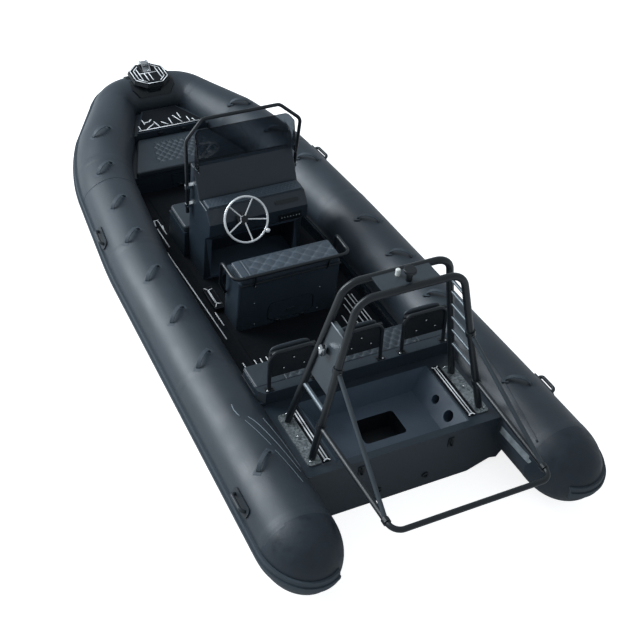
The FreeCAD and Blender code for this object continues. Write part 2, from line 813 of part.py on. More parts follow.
def make_stern_deck(collar, hull):
    """Raised deck at the stern with a sloped splash well, a hatch opening and two rigging holes."""
    deck = box(-STERN_DECK_HALF_W, STERN_DECK_HALF_W, TRANSOM_T, BENCH_AFT_Y, DECK_Z, STERN_DECK_Z)
    rims = []
    for half, aft, front, z in ((WELL_FLOOR_HALF_W, WELL_FLOOR_AFT_Y, WELL_FLOOR_FRONT_Y, WELL_FLOOR_Z),
                                (WELL_TOP_HALF_W, WELL_AFT_Y, WELL_FRONT_Y, STERN_DECK_Z)):
        rims.append(Part.makePolygon([V(-half, aft, z), V(half, aft, z), V(half, front, z), V(-half, front, z),
                                      V(-half, aft, z)]))
    well = Part.makeLoft(rims, True, True)
    hatch = box(-HATCH_HALF_W, HATCH_HALF_W, HATCH_AFT_Y, HATCH_FRONT_Y, WELL_FLOOR_Z - HATCH_DEPTH, STERN_DECK_Z)
    deck = deck.cut([well, round_edges(hatch, HATCH_CORNER_R, AXIS_Z)])
    for y, radius in ((RIGGING_HOLE_Y1, RIGGING_HOLE_R1), (RIGGING_HOLE_Y2, RIGGING_HOLE_R2)):
        middle = V((WELL_TOP_HALF_W + WELL_FLOOR_HALF_W) * HALF, y, (STERN_DECK_Z + WELL_FLOOR_Z) * HALF)
        slope = V(STERN_DECK_Z - WELL_FLOOR_Z, 0, WELL_FLOOR_HALF_W - WELL_TOP_HALF_W).normalize()
        deck = deck.cut(disc(middle - slope * radius, radius, RIGGING_HOLE_DEPTH + radius, slope))
    return largest(deck.cut([collar, hull]))


def make_stern_pads():
    """Foam step pads beside the well."""
    pad = box(STERN_PAD_INNER_X, STERN_PAD_OUTER_X, STERN_PAD_AFT_Y, STERN_PAD_FRONT_Y,
              STERN_DECK_Z, STERN_DECK_Z + PAD_T)
    return both_sides(round_edges(pad, PAD_T, AXIS_Z))


def make_bow_locker(collar, hull):
    """Anchor locker under the bow step, open on top."""
    outline = mirrored([(STEP_AFT_HALF_W, STEP_AFT_Y), (STEP_FRONT_HALF_W, STEP_FRONT_Y)])
    body = plan_profile(outline, BOW_FLOOR_Z, STEP_TOP_Z - STEP_LID_T)
    inner = mirrored([(LOCKER_INNER_AFT_W, STEP_AFT_Y + BOW_SEAT_WALL),
                      (LOCKER_INNER_FRONT_W, STEP_FRONT_Y - BOW_SEAT_WALL)])
    hollow = plan_profile(inner, BOW_FLOOR_Z + BOW_SEAT_WALL, STEP_TOP_Z)
    riser = plan_profile(mirrored([(STEP_AFT_HALF_W, STEP_AFT_Y - BOW_SEAT_WALL), (STEP_AFT_HALF_W, STEP_AFT_Y)]),
                         BOW_FLOOR_Z, STEP_TOP_Z - STEP_LID_T)
    return largest(body.cut(hollow).fuse(riser).cut([collar, hull]).removeSplitter())


def make_bow_locker_lid():
    """Step board over the anchor locker, and its foam pad."""
    edge = STEP_AFT_Y - BOW_SEAT_WALL
    outline = mirrored([(LID_AFT_HALF_W, edge), (LID_FRONT_HALF_W, STEP_FRONT_Y)])
    board = plan_profile(outline, STEP_TOP_Z - STEP_LID_T + FIT_GAP, STEP_TOP_Z)
    inset = STEP_PAD_INSET
    pad = mirrored([(LID_AFT_HALF_W - inset, edge + inset), (LID_FRONT_HALF_W - inset, STEP_FRONT_Y - inset)])
    return board, plan_profile(pad, STEP_TOP_Z, STEP_TOP_Z + PAD_T)


def hinges(places, face, z, fixed):
    """One half of each hinge on an aft face: the lower leaf with the outer knuckles, or the upper leaf."""
    pieces = []
    y = face - HINGE_R - FIT_GAP
    for x in places:
        half = HINGE_LEAF_W * HALF
        if fixed:
            leaf = box(x - half, x + half, face - HINGE_LEAF_T, face, z - HINGE_LEAF_H, z - HINGE_R - FIT_GAP)
            spans = [(x - half, x - KNUCKLE_HALF), (x + KNUCKLE_HALF, x + half)]
            web_low, web_high = z - HINGE_R - HINGE_LEAF_T, z
        else:
            leaf = box(x - half, x + half, face - HINGE_LEAF_T, face, z + HINGE_R + FIT_GAP, z + HINGE_LEAF_H)
            spans = [(x - KNUCKLE_HALF + FIT_GAP, x + KNUCKLE_HALF - FIT_GAP)]
            web_low, web_high = z, z + HINGE_R + HINGE_LEAF_T
        shape = leaf
        for x0, x1 in spans:
            barrel = disc(V(x0, y, z), HINGE_R, x1 - x0, AXIS_X)
            shape = shape.fuse([barrel, box(x0, x1, y, face - FIT_GAP, web_low, web_high)])
        if fixed:
            shape = shape.fuse(disc(V(x - half, y, z), HINGE_PIN_R, HINGE_LEAF_W, AXIS_X))
        else:
            shape = shape.cut(disc(V(x - half, y, z), HINGE_PIN_R + FIT_GAP, HINGE_LEAF_W, AXIS_X))
        pieces.append(shape.removeSplitter())
    return pieces


def hinge_sets(fixed):
    """Hinges of the anchor locker lid, the bow seat door and the helm seat door."""
    sets = (((-HINGE_X, HINGE_X), STEP_AFT_Y - BOW_SEAT_WALL, LID_HINGE_Z),
            ((-HINGE_X, HINGE_X), BOW_SEAT_AFT_Y, BOW_DOOR_LOW_Z + LID_GAP * HALF),
            ((HELM_DOOR_CENTRE_X - HINGE_X, HELM_DOOR_CENTRE_X + HINGE_X), HELM_AFT_Y,
             HELM_DOOR_LOW_Z + LID_GAP * HALF))
    return [hinges(places, face, z, fixed) for places, face, z in sets]


def make_bow_seat(collar, hull):
    """Bow seat box with a door opening in its aft face."""
    outline = mirrored([(BOW_SEAT_AFT_HALF_W, BOW_SEAT_AFT_Y), (BOW_SEAT_FRONT_HALF_W, STEP_AFT_Y - BOW_SEAT_WALL)])
    body = plan_profile(outline, DECK_Z, BOW_SEAT_TOP_Z)
    inner = mirrored([(BOW_SEAT_AFT_HALF_W - BOW_SEAT_INSET, BOW_SEAT_AFT_Y + BOW_SEAT_WALL),
                      (BOW_SEAT_FRONT_HALF_W - BOW_SEAT_INSET, STEP_AFT_Y - BOW_SEAT_WALL - BOW_SEAT_WALL)])
    hollow = plan_profile(inner, BOW_FLOOR_Z, BOW_SEAT_TOP_Z - BOW_SEAT_WALL)
    door = box(-BOW_DOOR_HALF_W, BOW_DOOR_HALF_W, BOW_SEAT_AFT_Y, BOW_SEAT_AFT_Y + BOW_SEAT_WALL,
               BOW_DOOR_LOW_Z, BOW_DOOR_HIGH_Z)
    return largest(body.cut([hollow, door, collar, hull]))


def make_bow_door():
    """Flush door in the bow seat's aft face, with its pull."""
    gap = LID_GAP
    door = box(-BOW_DOOR_HALF_W + gap, BOW_DOOR_HALF_W - gap, BOW_SEAT_AFT_Y, BOW_SEAT_AFT_Y + DOOR_T,
               BOW_DOOR_LOW_Z + gap, BOW_DOOR_HIGH_Z - gap)
    pull = box(-LATCH_W * HALF, LATCH_W * HALF, BOW_SEAT_AFT_Y - LATCH_T, BOW_SEAT_AFT_Y,
               BOW_DOOR_HIGH_Z - LATCH_H - LATCH_H, BOW_DOOR_HIGH_Z - LATCH_H)
    return door.fuse(round_edges(pull, LATCH_T * HALF, AXIS_Y))


def make_bow_cushion():
    """Quilted bow seat cushion."""
    outline = mirrored([(BOW_CUSHION_AFT_HALF_W, BOW_SEAT_AFT_Y), (BOW_CUSHION_FRONT_HALF_W, BOW_CUSHION_FRONT_Y)])
    return plan_profile(outline, BOW_SEAT_TOP_Z, BOW_SEAT_TOP_Z + BOW_CUSHION_T)


def console_outline():
    """Side outline of the console, as y, z, from the foot of the recess round to the front."""
    return [(CONSOLE_AFT_Y, DECK_Z), (CONSOLE_AFT_Y, DASH_BOTTOM_Z), (DASH_AFT_Y, DASH_LOW_FOLD_Z),
            (DASH_AFT_Y, DASH_FOLD_Z), (CONSOLE_AFT_Y, DASH_TOP_Z), (PANEL_FOOT_Y, DASH_TOP_Z),
            (PANEL_TOP_Y, CONSOLE_TOP_Z), (CONSOLE_FRONT_Y, CONSOLE_TOP_Z), (CONSOLE_FRONT_Y, DECK_Z)]


def make_console():
    """Hollow console moulding, open to the helmsman's feet."""
    body = side_profile(console_outline(), CONSOLE_HALF_W)
    body = body.makeFillet(CONSOLE_EDGE_R, side_edges(body, CONSOLE_HALF_W))
    wall = Part.makePolygon([V(-CONSOLE_HALF_W + CONSOLE_WALL, y, z) for y, z in
                             console_outline() + [console_outline()[0]]])
    inner = Part.Face(wall).makeOffset2D(-CONSOLE_WALL)
    hollow = inner.extrude(V(CONSOLE_HALF_W + CONSOLE_HALF_W - CONSOLE_WALL - CONSOLE_WALL, 0, 0))
    recess = box(-RECESS_HALF_W, RECESS_HALF_W, CONSOLE_AFT_Y, CONSOLE_AFT_Y + CONSOLE_WALL + CONSOLE_WALL,
                 DECK_Z + CONSOLE_WALL, DASH_BOTTOM_Z - CONSOLE_WALL)
    return body.cut([hollow, recess])


def side_edges(body, half_width):
    """Edges of a moulding's two side faces, except those on the floor."""
    chosen = []
    for edge in body.Edges:
        ends = [vertex.Point for vertex in edge.Vertexes]
        on_side = all(abs(abs(p.x) - half_width) < NEARNESS for p in ends)
        level = abs(ends[0].x - ends[-1].x) < NEARNESS
        if on_side and level and max(p.z for p in ends) > DECK_Z + NEARNESS:
            chosen.append(edge)
    return chosen


def make_dash_pad():
    """Padded shelf over the dash."""
    half = CONSOLE_HALF_W - DASH_PAD_INSET
    pad = box(-half, half, CONSOLE_AFT_Y + FIT_GAP, PANEL_FOOT_Y - DASH_PAD_T, DASH_TOP_Z, DASH_TOP_Z + DASH_PAD_T)
    return pad


def make_switch_panel():
    """Row of rocker switches, with the slotted plate above and the key switch beside the wheel."""
    plate = box(SWITCH_X0, SWITCH_X1, DASH_AFT_Y - SWITCH_PLATE_T, DASH_AFT_Y, SWITCH_LOW_Z, SWITCH_HIGH_Z)
    plate = round_edges(plate, SWITCH_PLATE_T, AXIS_Y)
    pitch = (SWITCH_X1 - SWITCH_X0) / (SWITCH_COUNT + 1)
    middle = (SWITCH_LOW_Z + SWITCH_HIGH_Z) * HALF
    for index in range(SWITCH_COUNT):
        x = SWITCH_X0 + pitch * (index + 1)
        rocker = box(x - ROCKER_W * HALF, x + ROCKER_W * HALF, DASH_AFT_Y - SWITCH_PLATE_T - ROCKER_T,
                     DASH_AFT_Y, middle - ROCKER_H * HALF, middle + ROCKER_H * HALF)
        plate = plate.fuse(rocker)
    slope = V(0, CONSOLE_AFT_Y - DASH_AFT_Y, DASH_TOP_Z - DASH_FOLD_Z).normalize()
    facing = V(0, -slope.z, slope.y)
    slot = box(-SLOT_PLATE_H * HALF, SLOT_PLATE_H * HALF, 0, SLOT_PLATE_LENGTH, 0, SLOT_PLATE_T)
    slot = round_edges(slot, SLOT_PLATE_H * HALF - SLOT_PLATE_T * HALF, AXIS_Z)
    centre = V(SLOT_PLATE_X, (CONSOLE_AFT_Y + DASH_AFT_Y) * HALF, (DASH_TOP_Z + DASH_FOLD_Z) * HALF)
    key = disc(V(KEY_X, DASH_AFT_Y, KEY_Z), KEY_R, KEY_T, -AXIS_Y)
    grip = box(KEY_X - KEY_T * HALF * HALF, KEY_X + KEY_T * HALF * HALF, DASH_AFT_Y - KEY_T - KEY_R,
               DASH_AFT_Y - KEY_T * HALF, KEY_Z - KEY_T, KEY_Z + KEY_T)
    return [plate.removeSplitter(), placed(slot, centre, AXIS_X, facing), key.fuse(grip)]


def screen_plan(offset):
    """Plan of the windscreen at its foot: straight ahead of the wheel, curving aft at the sides."""
    half = CONSOLE_HALF_W - offset
    front = CONSOLE_FRONT_Y - offset - SCREEN_T
    knee = SCREEN_FOOT_R - offset
    aft = CONSOLE_FRONT_Y - SCREEN_WING
    lean = math.sqrt(HALF)
    edges = []
    for side in (1, -1):
        turn = Part.Arc(V(side * half, front - knee, 0),
                        V(side * (half - knee + knee * lean), front - knee + knee * lean, 0),
                        V(side * (half - knee), front, 0)).toShape()
        wing = Part.LineSegment(V(side * half, aft, 0), V(side * half, front - knee, 0)).toShape()
        edges += [wing, turn]
    edges.append(Part.LineSegment(V(half - knee, front, 0), V(knee - half, front, 0)).toShape())
    return edges


def make_windscreen():
    """Tinted wrap-round screen standing on the console, with rounded upper corners."""
    half, inner = CONSOLE_HALF_W - SCREEN_T, CONSOLE_HALF_W - SCREEN_T - SCREEN_T
    aft = CONSOLE_FRONT_Y - SCREEN_WING
    edges = screen_plan(SCREEN_T) + screen_plan(SCREEN_T + SCREEN_T)
    for side in (1, -1):
        edges.append(Part.LineSegment(V(side * half, aft, 0), V(side * inner, aft, 0)).toShape())
    plan = Part.Face(Part.Wire(Part.__sortEdges__(edges)))
    plan.translate(V(0, 0, CONSOLE_TOP_Z))
    screen = plan.extrude(V(0, 0, SCREEN_TOP_Z - CONSOLE_TOP_Z))
    reach = CONSOLE_HALF_W + CONSOLE_HALF_W
    face = round_edges(box(-CONSOLE_HALF_W, CONSOLE_HALF_W, PANEL_FOOT_Y, CONSOLE_FRONT_Y,
                           CONSOLE_TOP_Z - SCREEN_CORNER_R, SCREEN_TOP_Z), SCREEN_CORNER_R, AXIS_Y)
    wing_cut = prism([V(-reach, aft, SCREEN_TOP_Z), V(-reach, aft, CONSOLE_TOP_Z),
                      V(-reach, CONSOLE_FRONT_Y - SCREEN_FOOT_R, SCREEN_TOP_Z)], V(reach + reach, 0, 0))
    shell = screen.common(face).cut(wing_cut)
    return shell.common(box(-reach, reach, aft, CONSOLE_FRONT_Y, CONSOLE_TOP_Z, SCREEN_TOP_Z))


def make_screen_rail():
    """Handrail over the windscreen, with a foot against each side of the console."""
    half = [RAIL_FOOT, RAIL_SHOULDER, RAIL_CORNER]
    points = half + [port(p) for p in reversed(half)]
    return tube(points, [RAIL_BEND_R] * (len(points) - 2), RAIL_R)


def make_rail_clamps():
    """Saddles that hold the handrail to the console's sides."""
    clamps = []
    leg = RAIL_SHOULDER - RAIL_FOOT
    for z in (CLAMP_Z_LOW, CLAMP_Z_HIGH):
        centre = RAIL_FOOT + leg * ((z - RAIL_FOOT.z) / leg.z)
        block = box(CONSOLE_HALF_W, centre.x, centre.y - CLAMP_R, centre.y + CLAMP_R, z - CLAMP_H * HALF,
                    z + CLAMP_H * HALF)
        run = leg / leg.Length * CLAMP_H
        collar = disc(centre - run * HALF, CLAMP_R, CLAMP_H, run)
        clamps += both_sides(block.fuse(collar).cut(make_screen_rail()))
    return clamps


def wheel_axis():
    """Direction from the wheel's hub along its shaft into the dash."""
    angle = math.radians(WHEEL_TILT)
    return V(0, math.cos(angle), -math.sin(angle))


def make_steering():
    """Helm boss on the dash, and the dished five-spoke wheel with its knob and shaft."""
    into = wheel_axis()
    centre = V(WHEEL_X, WHEEL_Y, WHEEL_Z)
    hub = disc(centre + into * WHEEL_DISH, HUB_R, HUB_T, into)
    shaft = disc(centre + into * WHEEL_DISH, SHAFT_R, HUB_T + SHAFT_REACH, into)
    rim = Part.makeTorus(WHEEL_R, WHEEL_RIM_R, centre, into)
    wheel = [rim, shaft]
    side = AXIS_X
    up = into.cross(side).normalize() * -1
    for index in range(SPOKE_COUNT):
        angle = math.radians(SPOKE_START + FULL_TURN * index / SPOKE_COUNT)
        outward = side * math.cos(angle) + up * math.sin(angle)
        start = centre + into * (WHEEL_DISH + HUB_T * HALF) + outward * (HUB_R * HALF)
        end = centre + outward * WHEEL_R
        wheel.append(rod(start, end, SPOKE_T))
    angle = math.radians(KNOB_ANGLE)
    outward = side * math.cos(angle) + up * math.sin(angle)
    stalk = centre + outward * (WHEEL_R + WHEEL_RIM_R)
    wheel.append(rod(stalk - outward * WHEEL_RIM_R, stalk - into * KNOB_STALK, KNOB_STALK_R))
    wheel.append(Part.makeSphere(KNOB_R, stalk - into * (KNOB_STALK + KNOB_R * HALF)))
    boss = disc(centre + into * (WHEEL_DISH + HUB_T + BOSS_GAP), BOSS_R, BOSS_REACH, into)
    boss = boss.cut(disc(centre, SHAFT_R + FIT_GAP, BOSS_REACH + BOSS_REACH, into))
    return hub.fuse(wheel).removeSplitter(), largest(boss.cut(side_profile(console_outline(), CONSOLE_HALF_W)))


def open_box(x, y0, y1, z0, z1, wall):
    """Box open on top, symmetric about the centreline."""
    body = box(-x, x, y0, y1, z0, z1)
    return body.cut(box(wall - x, x - wall, y0 + wall, y1 - wall, z0 + wall, z1))


def make_console_seat():
    """Locker in front of the console, its lid and its cushion."""
    half = CONSOLE_SEAT_HALF_W
    base = open_box(half, CONSOLE_FRONT_Y, CONSOLE_SEAT_FRONT_Y, DECK_Z, CONSOLE_SEAT_TOP_Z, SEAT_WALL)
    base = round_edges_at(base, SEAT_WALL, CONSOLE_SEAT_FRONT_Y, half)
    top = CONSOLE_SEAT_TOP_Z + SEAT_LID_T
    lid = box(-half, half, CONSOLE_FRONT_Y + LID_GAP, CONSOLE_SEAT_FRONT_Y, CONSOLE_SEAT_TOP_Z + FIT_GAP, top)
    cushion = box(LID_GAP - half, half - LID_GAP, CONSOLE_FRONT_Y + LID_GAP, CONSOLE_SEAT_FRONT_Y - LID_GAP,
                  top, top + SEAT_CUSHION_T)
    return base, lid, cushion


def round_edges_at(solid, radius, y, half_width):
    """Round the two upright corners of a box at one station."""
    chosen = []
    for edge in solid.Edges:
        ends = [vertex.Point for vertex in edge.Vertexes]
        upright = len(ends) == 2 and abs(ends[0].z - ends[1].z) > SEAT_WALL
        if upright and all(abs(p.y - y) < NEARNESS and abs(abs(p.x) - half_width) < NEARNESS for p in ends):
            chosen.append(edge)
    return solid.makeFillet(radius, chosen)


def make_helm_seat():
    """Leaning seat box with a door opening in its aft face."""
    body = box(-HELM_HALF_W, HELM_HALF_W, HELM_AFT_Y, HELM_FRONT_Y, DECK_Z, HELM_BOX_TOP_Z)
    body = round_edges(body, HELM_CORNER_R, AXIS_Z)
    wall = SEAT_WALL
    hollow = box(wall - HELM_HALF_W, HELM_HALF_W - wall, HELM_AFT_Y + wall, HELM_FRONT_Y - wall,
                 DECK_Z + wall, HELM_BOX_TOP_Z - wall)
    door = box(HELM_DOOR_CENTRE_X - HELM_DOOR_HALF_W, HELM_DOOR_CENTRE_X + HELM_DOOR_HALF_W,
               HELM_AFT_Y, HELM_AFT_Y + wall, HELM_DOOR_LOW_Z, HELM_DOOR_HIGH_Z)
    return body.cut([hollow, round_edges(door, HELM_DOOR_R, AXIS_Y)])


def make_helm_door():
    """Rounded locker door with its recessed pull, hinged along its foot."""
    gap = LID_GAP
    door = box(HELM_DOOR_CENTRE_X - HELM_DOOR_HALF_W + gap, HELM_DOOR_CENTRE_X + HELM_DOOR_HALF_W - gap,
               HELM_AFT_Y, HELM_AFT_Y + HELM_DOOR_T, HELM_DOOR_LOW_Z + gap, HELM_DOOR_HIGH_Z - gap)
    door = round_edges(door, HELM_DOOR_R - gap, AXIS_Y)
    pull = box(HELM_DOOR_CENTRE_X - LATCH_W * HALF, HELM_DOOR_CENTRE_X + LATCH_W * HALF, HELM_AFT_Y - LATCH_T,
               HELM_AFT_Y, HELM_PULL_Z - LATCH_H * HALF, HELM_PULL_Z + LATCH_H * HALF)
    return door.fuse(round_edges(pull, LATCH_T, AXIS_Y))


def make_helm_cushion():
    """Narrow quilted cushion of the leaning seat."""
    return box(-HELM_CUSHION_HALF_W, HELM_CUSHION_HALF_W, HELM_AFT_Y + FIT_GAP, HELM_CUSHION_FRONT_Y,
               HELM_BOX_TOP_Z, HELM_BOX_TOP_Z + HELM_CUSHION_T)


def make_helm_rail():
    """Tube rail wrapped round the back of the seat, with upright legs at the front."""
    half = [V(HELM_HALF_W + HELM_RAIL_R, HELM_RAIL_FRONT_Y, HELM_RAIL_FOOT_Z),
            V(HELM_RAIL_HALF_W, HELM_RAIL_FRONT_Y, HELM_RAIL_KNEE_Z),
            V(HELM_RAIL_HALF_W, HELM_RAIL_FRONT_Y, HELM_RAIL_Z),
            V(HELM_RAIL_HALF_W, HELM_RAIL_AFT_Y, HELM_RAIL_Z)]
    points = half + [port(p) for p in reversed(half)]
    radii = [HELM_RAIL_DROP_R, HELM_RAIL_DROP_R, HELM_RAIL_BEND_R]
    radii += reversed(radii)
    rail = tube(points, radii, HELM_RAIL_R)
    posts = []
    for side in (-1, 1):
        x = side * HELM_POST_X
        posts.append(rod(V(x, HELM_RAIL_AFT_Y, HELM_RAIL_Z), V(x, HELM_POST_END_Y, HELM_POST_Z), HELM_TRIM_R))
    trim = rod(V(-HELM_HALF_W, HELM_TRIM_Y, HELM_TRIM_Z), V(HELM_HALF_W, HELM_TRIM_Y, HELM_TRIM_Z), HELM_TRIM_R)
    return largest(rail.fuse(posts + [trim]).cut(make_helm_seat()))


def make_bench(collar, hull):
    """Rear bench locker, open under its cushion, with the ledge that carries the backrests."""
    body = box(-BENCH_HALF_W, BENCH_HALF_W, BENCH_AFT_Y, BENCH_FRONT_Y, DECK_Z, BENCH_TOP_Z)
    wall = BENCH_WALL
    hollow = box(BENCH_HOLLOW_SIDE - BENCH_HALF_W, BENCH_HALF_W - BENCH_HOLLOW_SIDE, BENCH_LEDGE_FRONT_Y + wall,
                 BENCH_FRONT_Y - wall, DECK_Z + wall, BENCH_TOP_Z)
    x, c = BENCH_HALF_W, BENCH_CHAMFER
    ledge = plan_profile(mirrored([(x - c, BENCH_AFT_Y), (x, BENCH_AFT_Y + c), (x, BENCH_LEDGE_FRONT_Y)]),
                         BENCH_TOP_Z, BENCH_LEDGE_Z)
    return body.fuse(ledge).cut([hollow, collar, hull]).removeSplitter()


def make_bench_seat():
    """Bench lid board and its quilted cushion."""
    half = BENCH_HALF_W - LID_GAP - LID_GAP
    aft = BENCH_LEDGE_FRONT_Y + LID_GAP
    top = BENCH_TOP_Z + SEAT_LID_T
    lid = box(-half, half, aft, BENCH_FRONT_Y, BENCH_TOP_Z + FIT_GAP, top)
    return lid, box(-half, half, aft, BENCH_FRONT_Y, top, top + BENCH_CUSHION_T)


def make_backrests():
    """Three bent-tube backrests with bolted feet, and their panels."""
    frames, panels = [], []
    for centre in BACKREST_CENTRES:
        half = BACKREST_HALF_W
        top = BENCH_LEDGE_Z + BACKREST_HEIGHT
        low = V(centre - half, BACKREST_FOOT_Y, BENCH_LEDGE_Z)
        points = [low, V(centre - half, BACKREST_TOP_Y, top), V(centre + half, BACKREST_TOP_Y, top),
                  V(centre + half, BACKREST_FOOT_Y, BENCH_LEDGE_Z)]
        hoop = tube(points, [BACKREST_BEND_R, BACKREST_BEND_R], BACKREST_R)
        hoop = hoop.cut(box(centre - half - BACKREST_BEND_R, centre + half + BACKREST_BEND_R, BENCH_AFT_Y,
                            BENCH_FRONT_Y, 0, BENCH_LEDGE_Z))
        feet = []
        for x in (centre - half, centre + half):
            plate = box(x - FOOT_PLATE_W * HALF, x + FOOT_PLATE_W * HALF, BACKREST_FOOT_Y - FOOT_PLATE_L * HALF,
                        BACKREST_FOOT_Y + FOOT_PLATE_L * HALF, BENCH_LEDGE_Z, BENCH_LEDGE_Z + FOOT_PLATE_T)
            feet.append(plate)
            for side in (-1, 1):
                spot = V(x + side * BOLT_OFFSET, BACKREST_FOOT_Y, BENCH_LEDGE_Z + FOOT_PLATE_T)
                feet.append(disc(spot, BOLT_R, BOLT_H, AXIS_Z))
        frame = hoop.fuse(feet)
        frames.append(frame)
        lean = (BACKREST_TOP_Y - BACKREST_FOOT_Y) / BACKREST_HEIGHT
        y_low = BACKREST_FOOT_Y + BACKREST_PANEL_LOW * lean
        panel = [V(centre - half, y_low, BENCH_LEDGE_Z + BACKREST_PANEL_LOW),
                 V(centre - half, y_low + BACKREST_PANEL_T, BENCH_LEDGE_Z + BACKREST_PANEL_LOW),
                 V(centre - half, BACKREST_TOP_Y + BACKREST_PANEL_T, top),
                 V(centre - half, BACKREST_TOP_Y, top)]
        sheet = prism(panel, V(half + half, 0, 0))
        panels.append(sheet.cut(frame))
    return frames, [largest(panel) for panel in panels]


def largest(shape):
    """The biggest solid of a shape."""
    return max(shape.Solids, key=lambda solid: solid.Volume)


def arch_hoop(foot_y, top_y):
    """One hoop of the stern arch."""
    foot_z = STERN_DECK_Z + ARCH_BASE_T
    half = [V(ARCH_FOOT_HALF_W, foot_y, foot_z), V(ARCH_TOP_HALF_W, top_y, ARCH_TOP_Z)]
    points = half + [port(p) for p in reversed(half)]
    hoop = tube(points, [ARCH_BEND_R, ARCH_BEND_R], ARCH_TUBE_R)
    reach = ARCH_FOOT_HALF_W + ARCH_FOOT_HALF_W
    return hoop.cut(box(-reach, reach, 0, reach, 0, foot_z))


def leg_point(foot_y, top_y, z):
    """Centre of a starboard arch leg at a height."""
    foot_z = STERN_DECK_Z + ARCH_BASE_T
    share = (z - foot_z) / (ARCH_TOP_Z - foot_z)
    return V(ARCH_FOOT_HALF_W + (ARCH_TOP_HALF_W - ARCH_FOOT_HALF_W) * share, foot_y + (top_y - foot_y) * share, z)


def aft_leg(z):
    """Centre of the aft hoop's starboard leg."""
    return leg_point(ARCH_AFT_Y, ARCH_AFT_TOP_Y, z)


def front_leg(z):
    """Centre of the forward hoop's starboard leg."""
    return leg_point(ARCH_FRONT_Y, ARCH_FRONT_TOP_Y, z)


def make_arch_bases():
    """Galvanised foot plates of the arch with their bolts."""
    x = ARCH_FOOT_HALF_W
    z = STERN_DECK_Z
    plate = box(x - ARCH_BASE_HALF_W, x + ARCH_BASE_HALF_W, ARCH_AFT_Y - ARCH_BASE_OVERHANG,
                ARCH_FRONT_Y + ARCH_BASE_OVERHANG, z, z + ARCH_BASE_T)
    plate = round_edges(plate, BASE_CORNER_R, AXIS_Z)
    middle = (ARCH_AFT_Y + ARCH_FRONT_Y) * HALF
    for y in (ARCH_AFT_Y - ARCH_BOLT_OFFSET, middle, ARCH_FRONT_Y + ARCH_BOLT_OFFSET):
        plate = plate.fuse(disc(V(x, y, z + ARCH_BASE_T), BOLT_R, BOLT_H, AXIS_Z))
    return both_sides(plate)


def make_arch_rungs(hoops):
    """Cross bars between the two hoops on each side."""
    rungs = []
    for z in RUNG_HEIGHTS_STARBOARD:
        rungs.append(rod(aft_leg(z), front_leg(z), RUNG_R).cut(hoops))
    for z in RUNG_HEIGHTS_PORT:
        rungs.append(mirror_x(rod(aft_leg(z), front_leg(z), RUNG_R + RUNG_R * HALF)).cut(hoops))
    return rungs


def make_side_plate(hoops):
    """Plate between the hoops' port legs that carries the horn."""
    corners = [aft_leg(SIDE_PLATE_LOW_Z), front_leg(SIDE_PLATE_LOW_Z), front_leg(SIDE_PLATE_HIGH_Z),
               aft_leg(SIDE_PLATE_HIGH_Z)]
    plate = mirror_x(prism(corners, V(-SIDE_PLATE_T, 0, 0))).cut(hoops)
    return largest(plate)


def make_horn():
    """Small horn on the side plate."""
    aft, front = port(aft_leg(HORN_Z)), port(front_leg(HORN_Z))
    centre = aft + (front - aft) * HORN_PLACE_SHARE
    return Part.makeCone(HORN_R, HORN_R * HALF, HORN_LENGTH, centre - AXIS_X * HORN_LENGTH, AXIS_X)


def make_top_plate(hoops):
    """Flat plate let in between the two hoops, just under their crowns."""
    z = ARCH_TOP_Z + TOP_PLATE_RISE
    plate = box(-TOP_PLATE_HALF_L, TOP_PLATE_HALF_L, ARCH_AFT_TOP_Y, ARCH_FRONT_TOP_Y, z, z + TOP_PLATE_T)
    return largest(plate.cut(hoops))


def make_lights(hoops):
    """Dark mushroom light and small white all-round light on the arch's top plate."""
    z = ARCH_TOP_Z + TOP_PLATE_RISE + TOP_PLATE_T
    y = ARCH_AFT_TOP_Y + STERN_LIGHT_AHEAD
    stem = disc(V(STERN_LIGHT_X, y, z), STERN_LIGHT_POST_R, STERN_LIGHT_H, AXIS_Z)
    cap = disc(V(STERN_LIGHT_X, y, z + STERN_LIGHT_H), STERN_LIGHT_DISC_R, STERN_LIGHT_DISC_T, AXIS_Z)
    cap = cap.makeFillet(STERN_LIGHT_DISC_T * HALF * HALF, cap.Edges)
    lamp = disc(V(WHITE_LIGHT_X, ARCH_AFT_TOP_Y + WHITE_LIGHT_AHEAD, z), WHITE_LIGHT_R, WHITE_LIGHT_H, AXIS_Z)
    lamp = lamp.makeFillet(WHITE_LIGHT_R * HALF, [lamp.Edges[0]])
    return [stem.fuse(cap).cut(hoops)], [lamp.cut(hoops)]


